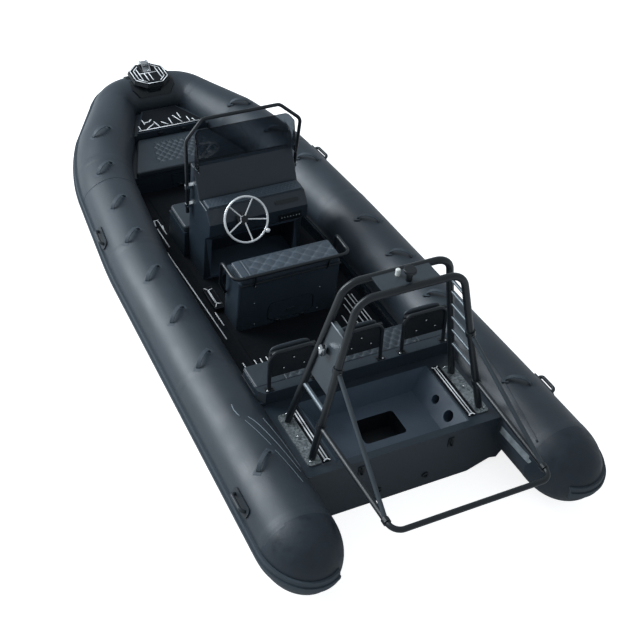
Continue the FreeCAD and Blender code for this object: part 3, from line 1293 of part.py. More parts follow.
def make_tow_frame(hoops, side_plate):
    """U-shaped bar behind the transom, its struts and the clamps on the aft hoop."""
    start = aft_leg(TOW_CLAMP_Z)
    half = [start, V(TOW_SIDE_HALF_W, TOW_AFT_Y, TOW_BAR_Z)]
    points = half + [port(p) for p in reversed(half)]
    bar = tube(points, [TOW_BEND_R, TOW_BEND_R], TOW_BAR_R).cut(hoops)
    top = aft_leg(STRUT_TOP_Z)
    share = (start.y - STRUT_END_Y) / (start.y - TOW_AFT_Y)
    end = start + (half[1] - start) * share
    strut = rod(top, end, STRUT_R)
    struts = both_sides(largest(strut.cut([bar] + hoops)))
    run = (aft_leg(STRUT_TOP_Z) - start).normalize()
    clamps = []
    for z in (TOW_CLAMP_Z, STRUT_TOP_Z):
        centre = aft_leg(z)
        ring = disc(centre - run * (TOW_CLAMP_L * HALF), TOW_CLAMP_R, TOW_CLAMP_L, run)
        bolt = disc(centre - AXIS_Y * TOW_CLAMP_R, BOLT_R, BOLT_H + BOLT_H, -AXIS_Y)
        clamps += both_sides(ring.fuse(bolt).cut([bar, strut] + hoops))
    ring = disc(end + AXIS_Y * (TOW_CLAMP_L * HALF), TOW_CLAMP_R - STRUT_R * HALF, TOW_CLAMP_L, -AXIS_Y)
    clamps += both_sides(ring.cut([bar, strut]))
    return bar, struts, [clamp.cut(side_plate) for clamp in clamps]


def octagon(half, y0, y1, corner, z):
    """Closed outline of a rectangle with cut corners."""
    points = [V(half - corner, y0, z), V(half, y0 + corner, z), V(half, y1 - corner, z), V(half - corner, y1, z)]
    points += [V(-p.x, p.y, z) for p in reversed(points)]
    return Part.makePolygon(points + [points[0]])


def make_nose(collar):
    """Moulded step over the bow tube: flange, neck and eight-sided top."""
    crest = BOW_BEND.z + BOW_TUBE_R
    top = NOSE_TOP_Z
    slab = Part.makeLoft([octagon(NOSE_HALF_W, NOSE_AFT_Y, NOSE_FRONT_Y, NOSE_CHAMFER, top - NOSE_SLAB_T),
                          octagon(NOSE_HALF_W - PAD_T, NOSE_AFT_Y + PAD_T, NOSE_FRONT_Y - PAD_T, NOSE_CHAMFER, top)],
                         True, True)
    grow = NOSE_BASE_GROW
    flange = Part.Face(octagon(NOSE_HALF_W + grow, NOSE_AFT_Y - grow, NOSE_FRONT_Y + grow, NOSE_CHAMFER,
                               crest - NOSE_CHAMFER)).extrude(V(0, 0, NOSE_CHAMFER))
    neck = Part.Face(octagon(NOSE_HALF_W - grow, NOSE_AFT_Y + grow, NOSE_FRONT_Y - grow, NOSE_CHAMFER,
                             crest - NOSE_CHAMFER)).extrude(V(0, 0, top - NOSE_SLAB_T - crest + NOSE_CHAMFER))
    skin = disc(BOW_BEND, BOW_TUBE_R + NOSE_FLANGE_T, BOW_BEND.x + BOW_BEND.x, -AXIS_X)
    body = slab.fuse([flange.common(skin), neck]).cut(collar)
    inset = NOSE_PAD_INSET
    pad_edge = octagon(NOSE_HALF_W - inset, NOSE_AFT_Y + inset, NOSE_FRONT_Y - inset, NOSE_CHAMFER - PAD_T, top)
    pad = Part.Face(pad_edge).extrude(V(0, 0, NOSE_PAD_T))
    notch = box(-ROLLER_BAY, ROLLER_BAY, ROLLER_AFT_Y, NOSE_FRONT_Y, top, top + CHEEK_H)
    return body.removeSplitter(), pad.cut(notch)


def make_roller():
    """Stainless bow roller: base, two cheeks, roller and pin."""
    z = NOSE_TOP_Z
    y0, y1 = ROLLER_AFT_Y, ROLLER_AFT_Y + CHEEK_L
    half = ROLLER_HALF_L + FIT_GAP
    base = box(-half - CHEEK_T, half + CHEEK_T, y0, NOSE_FRONT_Y - PAD_T, z, z + CHEEK_T)
    cheeks = []
    for x in (-half - CHEEK_T, half):
        profile = [V(x, y0, z), V(x, y1, z), V(x, y1, z + CHEEK_H), V(x, y1 - CHEEK_H, z + CHEEK_H)]
        cheeks.append(prism(profile, V(CHEEK_T, 0, 0)))
    axle = V(-half - CHEEK_T, y1 - ROLLER_R, z + CHEEK_H * HALF)
    roller = disc(V(-ROLLER_HALF_L, axle.y, axle.z), ROLLER_R, ROLLER_HALF_L + ROLLER_HALF_L, AXIS_X)
    pin = disc(axle, ROLLER_PIN_R, half + half + CHEEK_T + CHEEK_T, AXIS_X)
    return base.fuse(cheeks + [roller, pin])


def make_eyes(hull, guard):
    """Towing eye on the stem, and two eyes and two drains on the transom."""
    ring = Part.makeTorus(BOW_EYE_R, EYE_WIRE_R, V(0, BOW_EYE_Y, BOW_EYE_Z), AXIS_X)
    return [largest(ring.cut([hull, guard]))] + make_transom_fittings()


def main():
    """Build and write every sub-part."""
    os.makedirs("parts", exist_ok=True)
    bow, side = make_collar()
    collar = bow.fuse([side, mirror_x(side)])
    save("collar_bow", bow)
    save("collar_starboard", side)
    save("collar_port", mirror_x(side))
    hull = make_hull(collar)
    save("hull", hull)
    guard = make_keel_guard(hull, collar)
    save("keel_guard", guard)
    save("transom", make_transom(collar))
    save("rub_strake", make_rub_strake())
    save("grab_handles", make_grab_handles(collar))
    save("carry_handles", make_carry_handles(collar))
    save("deck_sole", make_sole(collar))
    save("stern_deck", make_stern_deck(collar, hull))
    save("bow_locker", make_bow_locker(collar, hull))
    lid, pad = make_bow_locker_lid()
    fixed_hinges = hinge_sets(True)
    lid_hinges, bow_door_hinges, helm_door_hinges = hinge_sets(False)
    save("hinge_leaves", fixed_hinges[0] + fixed_hinges[1] + fixed_hinges[2])
    save("bow_locker_lid", lid.fuse(lid_hinges))
    save("bow_locker_pad", pad)
    save("bow_seat_base", make_bow_seat(collar, hull))
    save("bow_seat_door", make_bow_door().fuse(bow_door_hinges))
    save("bow_seat_cushion", make_bow_cushion())

    save("console_body", make_console())
    save("dash_pad", make_dash_pad())
    save("switch_panel", make_switch_panel())
    save("windscreen", make_windscreen())
    save("windscreen_rail", make_screen_rail())
    wheel, boss = make_steering()
    save("steering_wheel", wheel)
    save("steering_boss", boss)
    base, lid, cushion = make_console_seat()
    save("console_seat_base", base)
    save("console_seat_lid", lid)
    save("console_seat_cushion", cushion)

    save("helm_seat_box", make_helm_seat())
    save("helm_locker_door", make_helm_door().fuse(helm_door_hinges))
    save("helm_seat_cushion", make_helm_cushion())
    save("helm_seat_rail", make_helm_rail())

    save("bench_base", make_bench(collar, hull))
    lid, cushion = make_bench_seat()
    save("bench_lid", lid)
    save("bench_cushion", cushion)
    frames, panels = make_backrests()
    save("backrest_frames", frames)
    save("backrest_panels", panels)

    aft_hoop = arch_hoop(ARCH_AFT_Y, ARCH_AFT_TOP_Y)
    front_hoop = arch_hoop(ARCH_FRONT_Y, ARCH_FRONT_TOP_Y)
    hoops = [aft_hoop, front_hoop]
    save("arch_aft_hoop", aft_hoop)
    save("arch_forward_hoop", front_hoop)
    save("arch_base_plates", make_arch_bases())
    save("arch_rungs", make_arch_rungs(hoops))
    side_plate = make_side_plate(hoops)
    save("arch_side_plate", side_plate)
    save("arch_horn", make_horn().cut(side_plate))
    save("arch_top_plate", make_top_plate(hoops))
    dark, white = make_lights(hoops)
    save("arch_lights", dark + white)
    bar, struts, clamps = make_tow_frame(hoops, side_plate)
    save("tow_frame", bar)
    save("tow_struts", struts)
    save("tube_clamps", clamps + make_rail_clamps())

    body, pad = make_nose(collar)
    save("bow_step", body)
    save("foam_pads", make_deck_pads() + make_stern_pads() + [pad])
    save("anchor_roller", make_roller())
    save("towing_eyes", make_eyes(hull, guard))


main()
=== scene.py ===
import math
import bpy
import numpy as np
from mathutils import Matrix, Vector


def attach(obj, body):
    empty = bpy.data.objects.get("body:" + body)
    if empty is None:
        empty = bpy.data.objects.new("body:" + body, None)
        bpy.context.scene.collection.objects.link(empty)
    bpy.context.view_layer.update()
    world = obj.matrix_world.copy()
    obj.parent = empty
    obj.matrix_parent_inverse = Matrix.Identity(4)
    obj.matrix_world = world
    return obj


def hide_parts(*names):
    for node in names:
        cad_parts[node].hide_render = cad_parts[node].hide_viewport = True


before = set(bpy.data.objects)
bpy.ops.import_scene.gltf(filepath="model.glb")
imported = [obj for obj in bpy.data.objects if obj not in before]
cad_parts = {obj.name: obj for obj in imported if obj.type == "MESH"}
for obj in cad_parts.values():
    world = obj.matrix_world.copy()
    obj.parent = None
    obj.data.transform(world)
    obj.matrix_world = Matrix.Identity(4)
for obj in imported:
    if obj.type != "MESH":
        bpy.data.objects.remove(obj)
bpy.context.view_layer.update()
HALF = 0.5
UP = np.array([0.0, 0.0, 1.0])

# Camera of the photograph, in the boat's frame, for a picture 624 x 618
CAMERA_PLACE = (-3.61, -4.71, 6.58)
CAMERA_AZIMUTH = -30.48
CAMERA_ELEVATION = 40.57
CAMERA_ROLL = 6.21
FOCAL_PIXELS = 1300
PICTURE_WIDTH = 624
SENSOR = 36.0

# Collar: centreline, bends and radius as in the part
COLLAR_POINTS = [(0.965, -0.360, 0.335), (0.895, 2.500, 0.270), (0.762, 3.790, 0.275),
                 (0.305, 4.680, 0.365)]
COLLAR_BENDS = [5.0, 1.9, 0.245]
RADIUS_AT_Y = [(-0.360, 0.262), (2.299, 0.235), (4.117, 0.235), (4.547, 0.188)]
CONE_LENGTH = 0.340


def set_camera():
    """Camera at the photograph's place, turned by azimuth, elevation and roll."""
    azimuth, elevation, roll = (math.radians(a) for a in (CAMERA_AZIMUTH, CAMERA_ELEVATION, CAMERA_ROLL))
    back = Vector((math.sin(azimuth) * math.cos(elevation), -math.cos(azimuth) * math.cos(elevation),
                   math.sin(elevation)))
    right = (-back).cross(Vector((0, 0, 1))).normalized()
    up = back.cross(right)
    turned_right = right * math.cos(roll) + up * math.sin(roll)
    turned_up = up * math.cos(roll) - right * math.sin(roll)
    camera = bpy.data.objects.new("camera", bpy.data.cameras.new("camera"))
    bpy.context.scene.collection.objects.link(camera)
    camera.data.sensor_width = SENSOR
    camera.data.lens = FOCAL_PIXELS / PICTURE_WIDTH * SENSOR
    camera.data.clip_end = 200
    axes = Matrix((turned_right, turned_up, back)).transposed().to_4x4()
    camera.matrix_world = Matrix.Translation(CAMERA_PLACE) @ axes
    bpy.context.scene.camera = camera


set_camera()


# Colours and nodes
def linear(hex_colour, alpha=1.0):
    """sRGB hex to linear RGBA."""
    values = [int(hex_colour[i:i + 2], 16) / 255 for i in (1, 3, 5)]
    return [v / 12.92 if v <= 0.04045 else ((v + 0.055) / 1.055) ** 2.4 for v in values] + [alpha]


def add(tree, kind, links=None, **settings):
    """Adds a node; settings are its properties or socket values, links are {socket: output socket}."""
    made = tree.nodes.new("ShaderNode" + kind)
    for key, value in settings.items():
        if hasattr(made, key):
            setattr(made, key, value)
        else:
            made.inputs[int(key[1:]) if key[1:].isdigit() else key.replace("_", " ")].default_value = value
    for socket, source in (links or {}).items():
        tree.links.new(source, made.inputs[socket])
    return made


def finish(name, colour, roughness, metallic=0.0, mottle=(0.3, 0.1), bump=(0.004, 0.1), **shader):
    """A finish whose colour and roughness drift over a patch size and whose surface has a fine grain.

    mottle is (patch size in m, share of change); bump is (grain size in m, strength)."""
    made = bpy.data.materials.new(name)
    made.use_nodes = True
    tree = made.node_tree
    tree.nodes.clear()
    place = add(tree, "TexCoord").outputs["Object"]
    patches = add(tree, "TexNoise", {"Vector": place}, Scale=1 / mottle[0], Detail=5.0, Roughness=0.6)
    spread = add(tree, "MapRange", {"Value": patches.outputs["Fac"]}, From_Min=0.3, From_Max=0.7,
                 To_Min=1 - mottle[1], To_Max=1 + mottle[1])
    tint = add(tree, "VectorMath", {0: spread.outputs["Result"]}, operation="MULTIPLY")
    tint.inputs[1].default_value = linear(colour)[:3]
    rough = add(tree, "MapRange", {"Value": patches.outputs["Fac"]}, From_Min=0.3, From_Max=0.7,
                To_Min=roughness * (1 - mottle[1]), To_Max=roughness * (1 + mottle[1]))
    grain = add(tree, "TexNoise", {"Vector": place}, Scale=1 / bump[0], Detail=3.0)
    relief = add(tree, "Bump", {"Height": grain.outputs["Fac"]}, Strength=bump[1], Distance=bump[0] * HALF)
    links = {"Base Color": tint.outputs["Vector"], "Roughness": rough.outputs["Result"],
             "Normal": relief.outputs["Normal"]}
    surface = add(tree, "BsdfPrincipled", links, Metallic=metallic, **shader)
    add(tree, "OutputMaterial", {"Surface": surface.outputs["BSDF"]})
    return made


# Coated boat fabric: synthetic rubber calendered on woven cloth, satin, with faint handling marks
tube_fabric = finish("coated_boat_fabric", "#2a323a", 0.46, mottle=(0.35, 0.16), bump=(0.003, 0.12))
# The same fabric on the stern cones, scuffed by landings
cap_fabric = finish("scuffed_boat_fabric", "#18232d", 0.5, mottle=(0.08, 0.3), bump=(0.004, 0.2))
# Welded tape of the same cloth, a shade darker
seam_tape = finish("welded_seam_tape", "#202a33", 0.47, mottle=(0.1, 0.1), bump=(0.003, 0.12))
# Pale lines along tape edges and folds, painted highlights where light catches them, and a reinforcing
# strip painted pale as a highlight
tape_edge_highlight = finish("painted_tape_edge_highlight", "#7b858d", 0.6)
strip_highlight_finish = finish("reinforcing_strip_painted_highlight", "#787f83", 0.5, mottle=(0.05, 0.3), bump=(0.003, 0.2))
# Extruded rubber: matte, a little greyer than the cloth
strake_rubber = finish("extruded_rubber", "#313b43", 0.55, mottle=(0.25, 0.14), bump=(0.002, 0.2))
# Moulded handle rubber
handle_rubber = finish("moulded_handle_rubber", "#20282e", 0.5, mottle=(0.05, 0.1), bump=(0.001, 0.2))
# Woven nylon webbing
webbing = finish("nylon_webbing", "#343d45", 0.62, mottle=(0.02, 0.15), bump=(0.0012, 0.5))
# Polyester gelcoat on glass fibre: glossy below, satin and slightly orange-peeled on deck
hull_gelcoat = finish("glossy_gelcoat", "#182027", 0.2, mottle=(0.5, 0.06), bump=(0.02, 0.03))
deck_gelcoat = finish("satin_deck_gelcoat", "#222c35", 0.38, mottle=(0.3, 0.1), bump=(0.006, 0.06))
# The helm box's gelcoat, painted paler than the deck gelcoat: painted fill light on its shaded faces
painted_fill_helm_gelcoat = finish("satin_gelcoat_painted_fill", "#2d3842", 0.42)
# Gelcoat painted paler than the moulded gelcoat inside wells and recesses: painted fill light on these
# shaded faces
painted_fill_gelcoat = finish("gelcoat_with_painted_fill_light", "#404d5a", 0.45, mottle=(0.25, 0.12), bump=(0.006, 0.08))
# Raised edge of a moulding, drawn as a pale grey line
grey_line = finish("moulded_edge_line", "#5b656d", 0.4, mottle=(0.1, 0.1), bump=(0.004, 0.05))
# Roller-painted sole: darker and rougher than the mouldings above it
sole_paint = finish("non_slip_sole_paint", "#0b1016", 0.7, mottle=(0.2, 0.12), bump=(0.002, 0.4), IOR=1.28)
# Closed-cell EVA decking: brushed, dead matte, with inlaid lines of white foam
eva_foam = finish("brushed_eva_foam", "#0c1116", 0.85, mottle=(0.06, 0.15), bump=(0.0015, 0.5), IOR=1.28)
eva_line = finish("pale_eva_inlay", "#f2f4f5", 0.45, mottle=(0.04, 0.06), bump=(0.0015, 0.3))
# Marine vinyl over foam: soft leather grain, and the cord sewn into its seams
vinyl = finish("marine_vinyl", "#262f37", 0.46, mottle=(0.12, 0.08), bump=(0.0018, 0.3))
pale_vinyl = finish("pale_marine_vinyl", "#3d4751", 0.44, mottle=(0.12, 0.08), bump=(0.0018, 0.3))
vinyl_piping = finish("vinyl_piping", "#232b32", 0.4, mottle=(0.05, 0.05), bump=(0.0018, 0.2))
# Powder-coated aluminium tube and plate: satin with a fine even grain
powder_coat = finish("powder_coated_aluminium", "#161c21", 0.34, mottle=(0.1, 0.08), bump=(0.0012, 0.15))
grey_coat = finish("grey_powder_coat", "#363e44", 0.4, mottle=(0.1, 0.1), bump=(0.0012, 0.15))
# Brushed anodised aluminium
aluminium = finish("anodised_aluminium", "#5c646a", 0.36, metallic=0.4, mottle=(0.06, 0.08),
                   bump=(0.001, 0.15))
# Polished stainless steel, and the steering wheel's rim: only part metal, with a near-white base colour
# that paints in a brighter reflection than the steel gives
stainless = finish("polished_stainless", "#d4d6d8", 0.13, metallic=1.0, mottle=(0.03, 0.05),
                   bump=(0.01, 0.02))
steel_with_painted_reflection = finish("stainless_with_painted_reflection", "#f4f5f6", 0.24, metallic=0.6, mottle=(0.03, 0.05),
                      bump=(0.01, 0.02))
# Moulded ABS plastic, whose black also fills the stern deck's hatch recess as painted shade, and the marks
# printed on it
black_abs_and_painted_shade = finish("moulded_abs_and_painted_shade", "#10161b", 0.42, mottle=(0.08, 0.08), bump=(0.0015, 0.15))
abs_mark = finish("printed_mark", "#9aa0a4", 0.5, mottle=(0.02, 0.05), bump=(0.002, 0.05))
# Opal polycarbonate lens
opal = finish("opal_polycarbonate", "#e6e7e2", 0.25, mottle=(0.02, 0.03), bump=(0.004, 0.02))
# Pale colour of the quilting lines: the stitching itself, and a painted highlight on the ridges along them
THREAD_AND_HIGHLIGHT_COLOUR = "#98a2aa"
THREAD_AND_HIGHLIGHT_SHARE = 0.34
CRYSTAL_SIZE = 0.012


def show_stitching_and_highlight(material):
    """Pales the base colour where a mesh's stitch attribute rises: partly the pale stitching itself, partly
    a painted highlight on the ridges along it.
    """
    tree = material.node_tree
    shader = next(n for n in tree.nodes if n.type == "BSDF_PRINCIPLED")
    source = shader.inputs["Base Color"].links[0].from_socket
    thread_and_highlight = add(tree, "Attribute", attribute_name="stitch")
    share = add(tree, "Math", {0: thread_and_highlight.outputs["Fac"]}, operation="MULTIPLY", i1=THREAD_AND_HIGHLIGHT_SHARE)
    mixed = add(tree, "MixRGB", {"Fac": share.outputs["Value"], "Color1": source},
                Color2=linear(THREAD_AND_HIGHLIGHT_COLOUR))
    tree.links.new(mixed.outputs["Color"], shader.inputs["Base Color"])


show_stitching_and_highlight(vinyl)
show_stitching_and_highlight(pale_vinyl)


def zinc_spangle():
    """Hot-dip galvanised steel: frosty crystals about 12 mm across, each with its own shade."""
    made = bpy.data.materials.new("hot_dip_galvanised")
    made.use_nodes = True
    tree = made.node_tree
    tree.nodes.clear()
    place = add(tree, "TexCoord").outputs["Object"]
    crystals = add(tree, "TexVoronoi", {"Vector": place}, Scale=1 / CRYSTAL_SIZE)
    shade = add(tree, "ValToRGB", {"Fac": crystals.outputs["Color"]})
    shade.color_ramp.elements[0].color = linear("#4d5558")
    shade.color_ramp.elements[1].color = linear("#a5acae")
    surface = add(tree, "BsdfPrincipled", {"Base Color": shade.outputs["Color"]}, Metallic=0.75,
                  Roughness=0.42)
    add(tree, "OutputMaterial", {"Surface": surface.outputs["BSDF"]})
    return made


galvanised = zinc_spangle()


def smoked_acrylic():
    """Cast acrylic tinted nearly black: clear, glossy, with a trace of haze."""
    made = bpy.data.materials.new("smoked_acrylic")
    made.use_nodes = True
    tree = made.node_tree
    tree.nodes.clear()
    place = add(tree, "TexCoord").outputs["Object"]
    haze = add(tree, "TexNoise", {"Vector": place}, Scale=6.0, Detail=4.0)
    rough = add(tree, "MapRange", {"Value": haze.outputs["Fac"]}, To_Min=0.02, To_Max=0.07)
    surface = add(tree, "BsdfPrincipled", {"Roughness": rough.outputs["Result"]},
                  Base_Color=linear("#6f767d"), Transmission_Weight=1.0, IOR=1.49)
    add(tree, "OutputMaterial", {"Surface": surface.outputs["BSDF"]})
    return made


acrylic = smoked_acrylic()


# Meshes from arrays
def piece(name, points, faces, material, slot, body="boat"):
    """One closed mesh from an (n, 3) array and a list of face index arrays, its faces turned outward.

    The side is known by the sum of a . (b x c) over each face's fan of triangles, six times the volume."""
    points = np.asarray(points, float)
    volume = sum(np.einsum("ij,ij->", points[f[:, 0]], np.cross(points[f[:, k]], points[f[:, k + 1]]))
                 for f in faces for k in range(1, f.shape[1] - 1))
    faces = [f[:, ::-1] for f in faces] if volume < 0 else faces
    data = bpy.data.meshes.new(name)
    data.from_pydata(points.tolist(), [], [face.tolist() for block in faces for face in block])
    data.polygons.foreach_set("use_smooth", [True] * len(data.polygons))
    data.materials.append(material)
    made = bpy.data.objects.new(name, data)
    bpy.context.scene.collection.objects.link(made)
    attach(made, body)
    return made


def quads(rows, columns, wrap_rows=False, wrap_columns=False, start=0):
    """Face indices of a grid of rows x columns points, optionally closed on itself."""
    r = np.arange(rows if wrap_rows else rows - 1)
    c = np.arange(columns if wrap_columns else columns - 1)
    a, b = (m.ravel() for m in np.meshgrid(r, c, indexing="ij"))
    a2, b2 = (a + 1) % rows, (b + 1) % columns
    return start + np.stack([a * columns + b, a * columns + b2, a2 * columns + b2, a2 * columns + b], 1)


def capped_tube(sections):
    """Points and faces of a skin through (n, m, 3) closed sections, each end closed on its middle."""
    n, m, _ = sections.shape
    points = np.concatenate([sections.reshape(-1, 3), sections[:1].mean(1), sections[-1:].mean(1)])
    ring = np.arange(m)
    follow = (ring + 1) % m
    first = np.stack([follow, ring, np.full(m, n * m)], 1)
    last = np.stack([(n - 1) * m + ring, (n - 1) * m + follow, np.full(m, n * m + 1)], 1)
    return points, [quads(n, m, wrap_columns=True), first, last]


def unit(vectors):
    """Vectors scaled to length one along the last axis."""
    return vectors / np.linalg.norm(vectors, axis=-1, keepdims=True)


def bent_path(points, bends, step):
    """Straight runs joined by tangent arcs, sampled about every step; gives places and directions.

    Each arc's points are corner - in*t + in*R*sin(a) + inward*R*(1 - cos(a)), with t = R*tan(turn/2)."""
    points = np.array(points, float)
    places, start = [], points[0]
    for before, corner, after, radius in zip(points[:-2], points[1:-1], points[2:], bends):
        way_in, way_out = unit(corner - before), unit(after - corner)
        turn = math.acos(float(np.clip(way_in @ way_out, -1, 1)))
        tangent = radius * math.tan(turn * HALF)
        arc_start = corner - way_in * tangent
        count = max(2, int(np.linalg.norm(arc_start - start) / step))
        places.append(start + (arc_start - start) * np.linspace(0, 1, count, endpoint=False)[:, None])
        angles = np.linspace(0, turn, max(5, int(radius * turn / step)), endpoint=False)[:, None]
        side = unit(way_out - way_in * (way_in @ way_out))
        places.append(arc_start + way_in * radius * np.sin(angles) + side * radius * (1 - np.cos(angles)))
        start = corner + way_out * tangent
    count = max(2, int(np.linalg.norm(points[-1] - start) / step))
    places.append(start + (points[-1] - start) * np.linspace(0, 1, count)[:, None])
    places = np.concatenate(places)
    return places, unit(np.gradient(places, axis=0))


# The inflated collar
def collar_frames(step):
    """Centres, directions, outboard and upward axes along the collar, stern to stern round the bow."""
    port = [(-x, y, z) for x, y, z in reversed(COLLAR_POINTS)]
    places, along = bent_path(COLLAR_POINTS + port, COLLAR_BENDS + COLLAR_BENDS[::-1], step)
    outboard = unit(np.cross(along, UP))
    return places, along, outboard, np.cross(outboard, along)


def collar_skin(centres, outboard, upward, radius):
    """Round sections: centre + r*(cos(a)*outboard + sin(a)*upward), r may change along and around."""
    angle = np.linspace(0, 2 * math.pi, AROUND, endpoint=False)
    ring = outboard[:, None] * np.cos(angle)[None, :, None] + upward[:, None] * np.sin(angle)[None, :, None]
    return centres[:, None] + ring * (radius[..., None] if radius.ndim == 2 else radius[:, None, None])


COLLAR_STEP = 0.012
AROUND = 96
SEAM_Y = 3.400
SEAM_MARKS = (0.03, 1.45, 2.95, 4.08, 4.98)
TAPE_HALF = 0.028
TAPE_RISE = 0.0016
TAPE_EDGE = 0.0012
PANEL_SWELL = 0.0022
PANEL_REACH = 0.5
SKIN_DRIFT = 0.0009
SKIN_INSET = 0.0012
centres, along, outboard, upward = collar_frames(COLLAR_STEP)
run = np.concatenate([[0], np.cumsum(np.linalg.norm(np.diff(centres, axis=0), axis=1))])
plain_radius = np.interp(centres[:, 1], *zip(*RADIUS_AT_Y))


def seam_stations():
    """Where bands of cloth meet, as distances along the collar: cones, quarters, shoulders and bow."""
    return [*SEAM_MARKS, *(run[-1] - mark for mark in SEAM_MARKS)]


def swell(distance, angle):
    """Small departures of the skin from a true round: panels swell as sqrt(d) from their nearest seam,
    tapes stand proud as 1/(1 + exp((d - half)/edge)), and a slow drift runs along and around."""
    nearest = np.min([np.abs(distance - s) for s in seam_stations()], axis=0)
    bulge = PANEL_SWELL * np.clip(nearest / PANEL_REACH, 0, 1) ** HALF
    tape = TAPE_RISE / (1 + np.exp((nearest - TAPE_HALF) / TAPE_EDGE))
    drift = SKIN_DRIFT * np.sin(distance * 5.1 + 2.0 * np.sin(angle)) * np.cos(angle * 3 + distance)
    return bulge + tape + drift


def make_collar():
    """Port, bow and starboard tubes with stern cones: at an angle a the cone is length*sin(a) further aft
    and the radius has shrunk to cos(a) of itself."""
    angle = np.linspace(0, 2 * math.pi, AROUND, endpoint=False)
    radius = plain_radius[:, None] + swell(run[:, None], angle[None]) - SKIN_INSET
    bow = centres[:, 1] > SEAM_Y
    first, last = np.argmax(bow), len(bow) - 1 - np.argmax(bow[::-1])
    spans = {"starboard": (0, first + 1), "bow": (first, last + 1), "port": (last, len(run))}
    cone = np.linspace(0, math.pi * HALF, 34)[1:-1]
    for name, (a, b) in spans.items():
        sections = collar_skin(centres[a:b], outboard[a:b], upward[a:b], radius[a:b])
        if name != "bow":
            end = 0 if name == "starboard" else -1
            way = -along[end] if name == "starboard" else along[end]
            tip = centres[end] + way * CONE_LENGTH * np.sin(cone)[:, None]
            shrink = radius[end][None] * np.cos(cone)[:, None]
            frames = (np.repeat(v[end][None], len(cone), 0) for v in (outboard, upward))
            rings = collar_skin(tip, *frames, shrink)
            sections = np.concatenate([rings[::-1], sections] if name == "starboard" else [sections, rings])
        points, faces = capped_tube(sections)
        tube = piece("tube_" + name, points, faces, tube_fabric, "tube_fabric")
        tube.data.materials.append(cap_fabric)
        middle = np.empty(len(tube.data.polygons) * 3)
        tube.data.polygons.foreach_get("center", middle)
        tube.data.polygons.foreach_set("material_index", (middle[1::3] < COLLAR_POINTS[0][1]).astype(int))
        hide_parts("collar_" + name)


make_collar()


# Webbing grab handles
HANDLE_STATIONS = {-1: (0.130, 1.165, 1.670, 2.170, 2.660, 3.090, 3.560, 4.030),
                   1: (0.143, 1.170, 1.700, 2.200, 3.135, 3.620, 4.080)}
HANDLE_TILT = {-1: math.radians(7), 1: math.radians(-5)}
HANDLE_SKEW = math.radians(-46)
HANDLE_SPAN, HANDLE_RISE, STRAP_W, STRAP_T = 0.178, 0.040, 0.030, 0.005
FOOT_LENGTH, FOOT_WIDTH, FOOT_T, FOOT_SUNK = 0.052, 0.060, 0.0035, 0.004
FOOT_GRID = 13


def on_collar(y, side, tilt):
    """Point, outward and forward directions and radius on the collar's skin, tilt outboard from the top."""
    half = slice(0, len(run) // 2) if side > 0 else slice(len(run) // 2, None)
    at = np.argmin(np.abs(centres[half, 1] - y)) + half.start
    outward = upward[at] * math.cos(tilt) + outboard[at] * math.sin(tilt)
    return centres[at] + outward * plain_radius[at], outward, along[at] * side, plain_radius[at]


def rounded(values, power):
    """sign(v)*|v|^power: squares off a sine or cosine, so that a circle becomes a rounded oblong."""
    return np.sign(values) * np.abs(values) ** power


def ribbon(path, normal, width, thickness, corner=0.3):
    """A flat strap along a path: rounded oblong sections, width across, thickness along the normals."""
    along_path = unit(np.gradient(path, axis=0))
    across = unit(np.cross(along_path, normal))
    normal = np.cross(across, along_path)
    angle = np.linspace(0, 2 * math.pi, 20, endpoint=False)
    wide, thick = rounded(np.cos(angle), corner), rounded(np.sin(angle), corner)
    return (path[:, None] + across[:, None] * wide[None, :, None] * width * HALF
            + normal[:, None] * thick[None, :, None] * thickness * HALF)


def make_grab_handles():
    """Each handle is a strap along rise*(1 - |s|^2.6)^0.8 for s from -1 to 1, less the tube's own fall
    r - sqrt(r^2 - across^2), and ends on a foot patch at each side."""
    s = np.linspace(-1, 1, 45)
    arch = np.clip(1 - np.abs(s) ** 2.6, 0, 1) ** 0.8
    meshes = {"straps": ([], []), "patches": ([], [])}
    for side, stations in HANDLE_STATIONS.items():
        for y in stations:
            point, outward, forward, radius = on_collar(y, side, HANDLE_TILT[side])
            level = np.cross(outward, forward)
            way = forward * math.cos(HANDLE_SKEW) + level * math.sin(HANDLE_SKEW) * -side
            across = np.cross(outward, way)
            reach = s * HANDLE_SPAN * HALF
            sink = radius - np.sqrt(radius ** 2 - (reach * math.sin(HANDLE_SKEW)) ** 2)
            path = point + way * reach[:, None] + outward * (arch * HANDLE_RISE - sink + FOOT_T)[:, None]
            store(meshes["straps"], *capped_tube(ribbon(path, outward, STRAP_W, STRAP_T)))
            for end in (-1, 1):
                store(meshes["patches"], *foot_patch(point, outward, way, across, radius, end))
    for name, (points, faces) in meshes.items():
        made = piece("grab_" + name, np.concatenate(points), faces, webbing, "tube_fabric")
        if name == "straps":
            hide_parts("grab_handles")


def store(bag, points, faces):
    """Appends a mesh to a bag of (points, faces), shifting its indices."""
    shift = sum(len(block) for block in bag[0])
    bag[0].append(points)
    bag[1].extend(face + shift for face in faces)


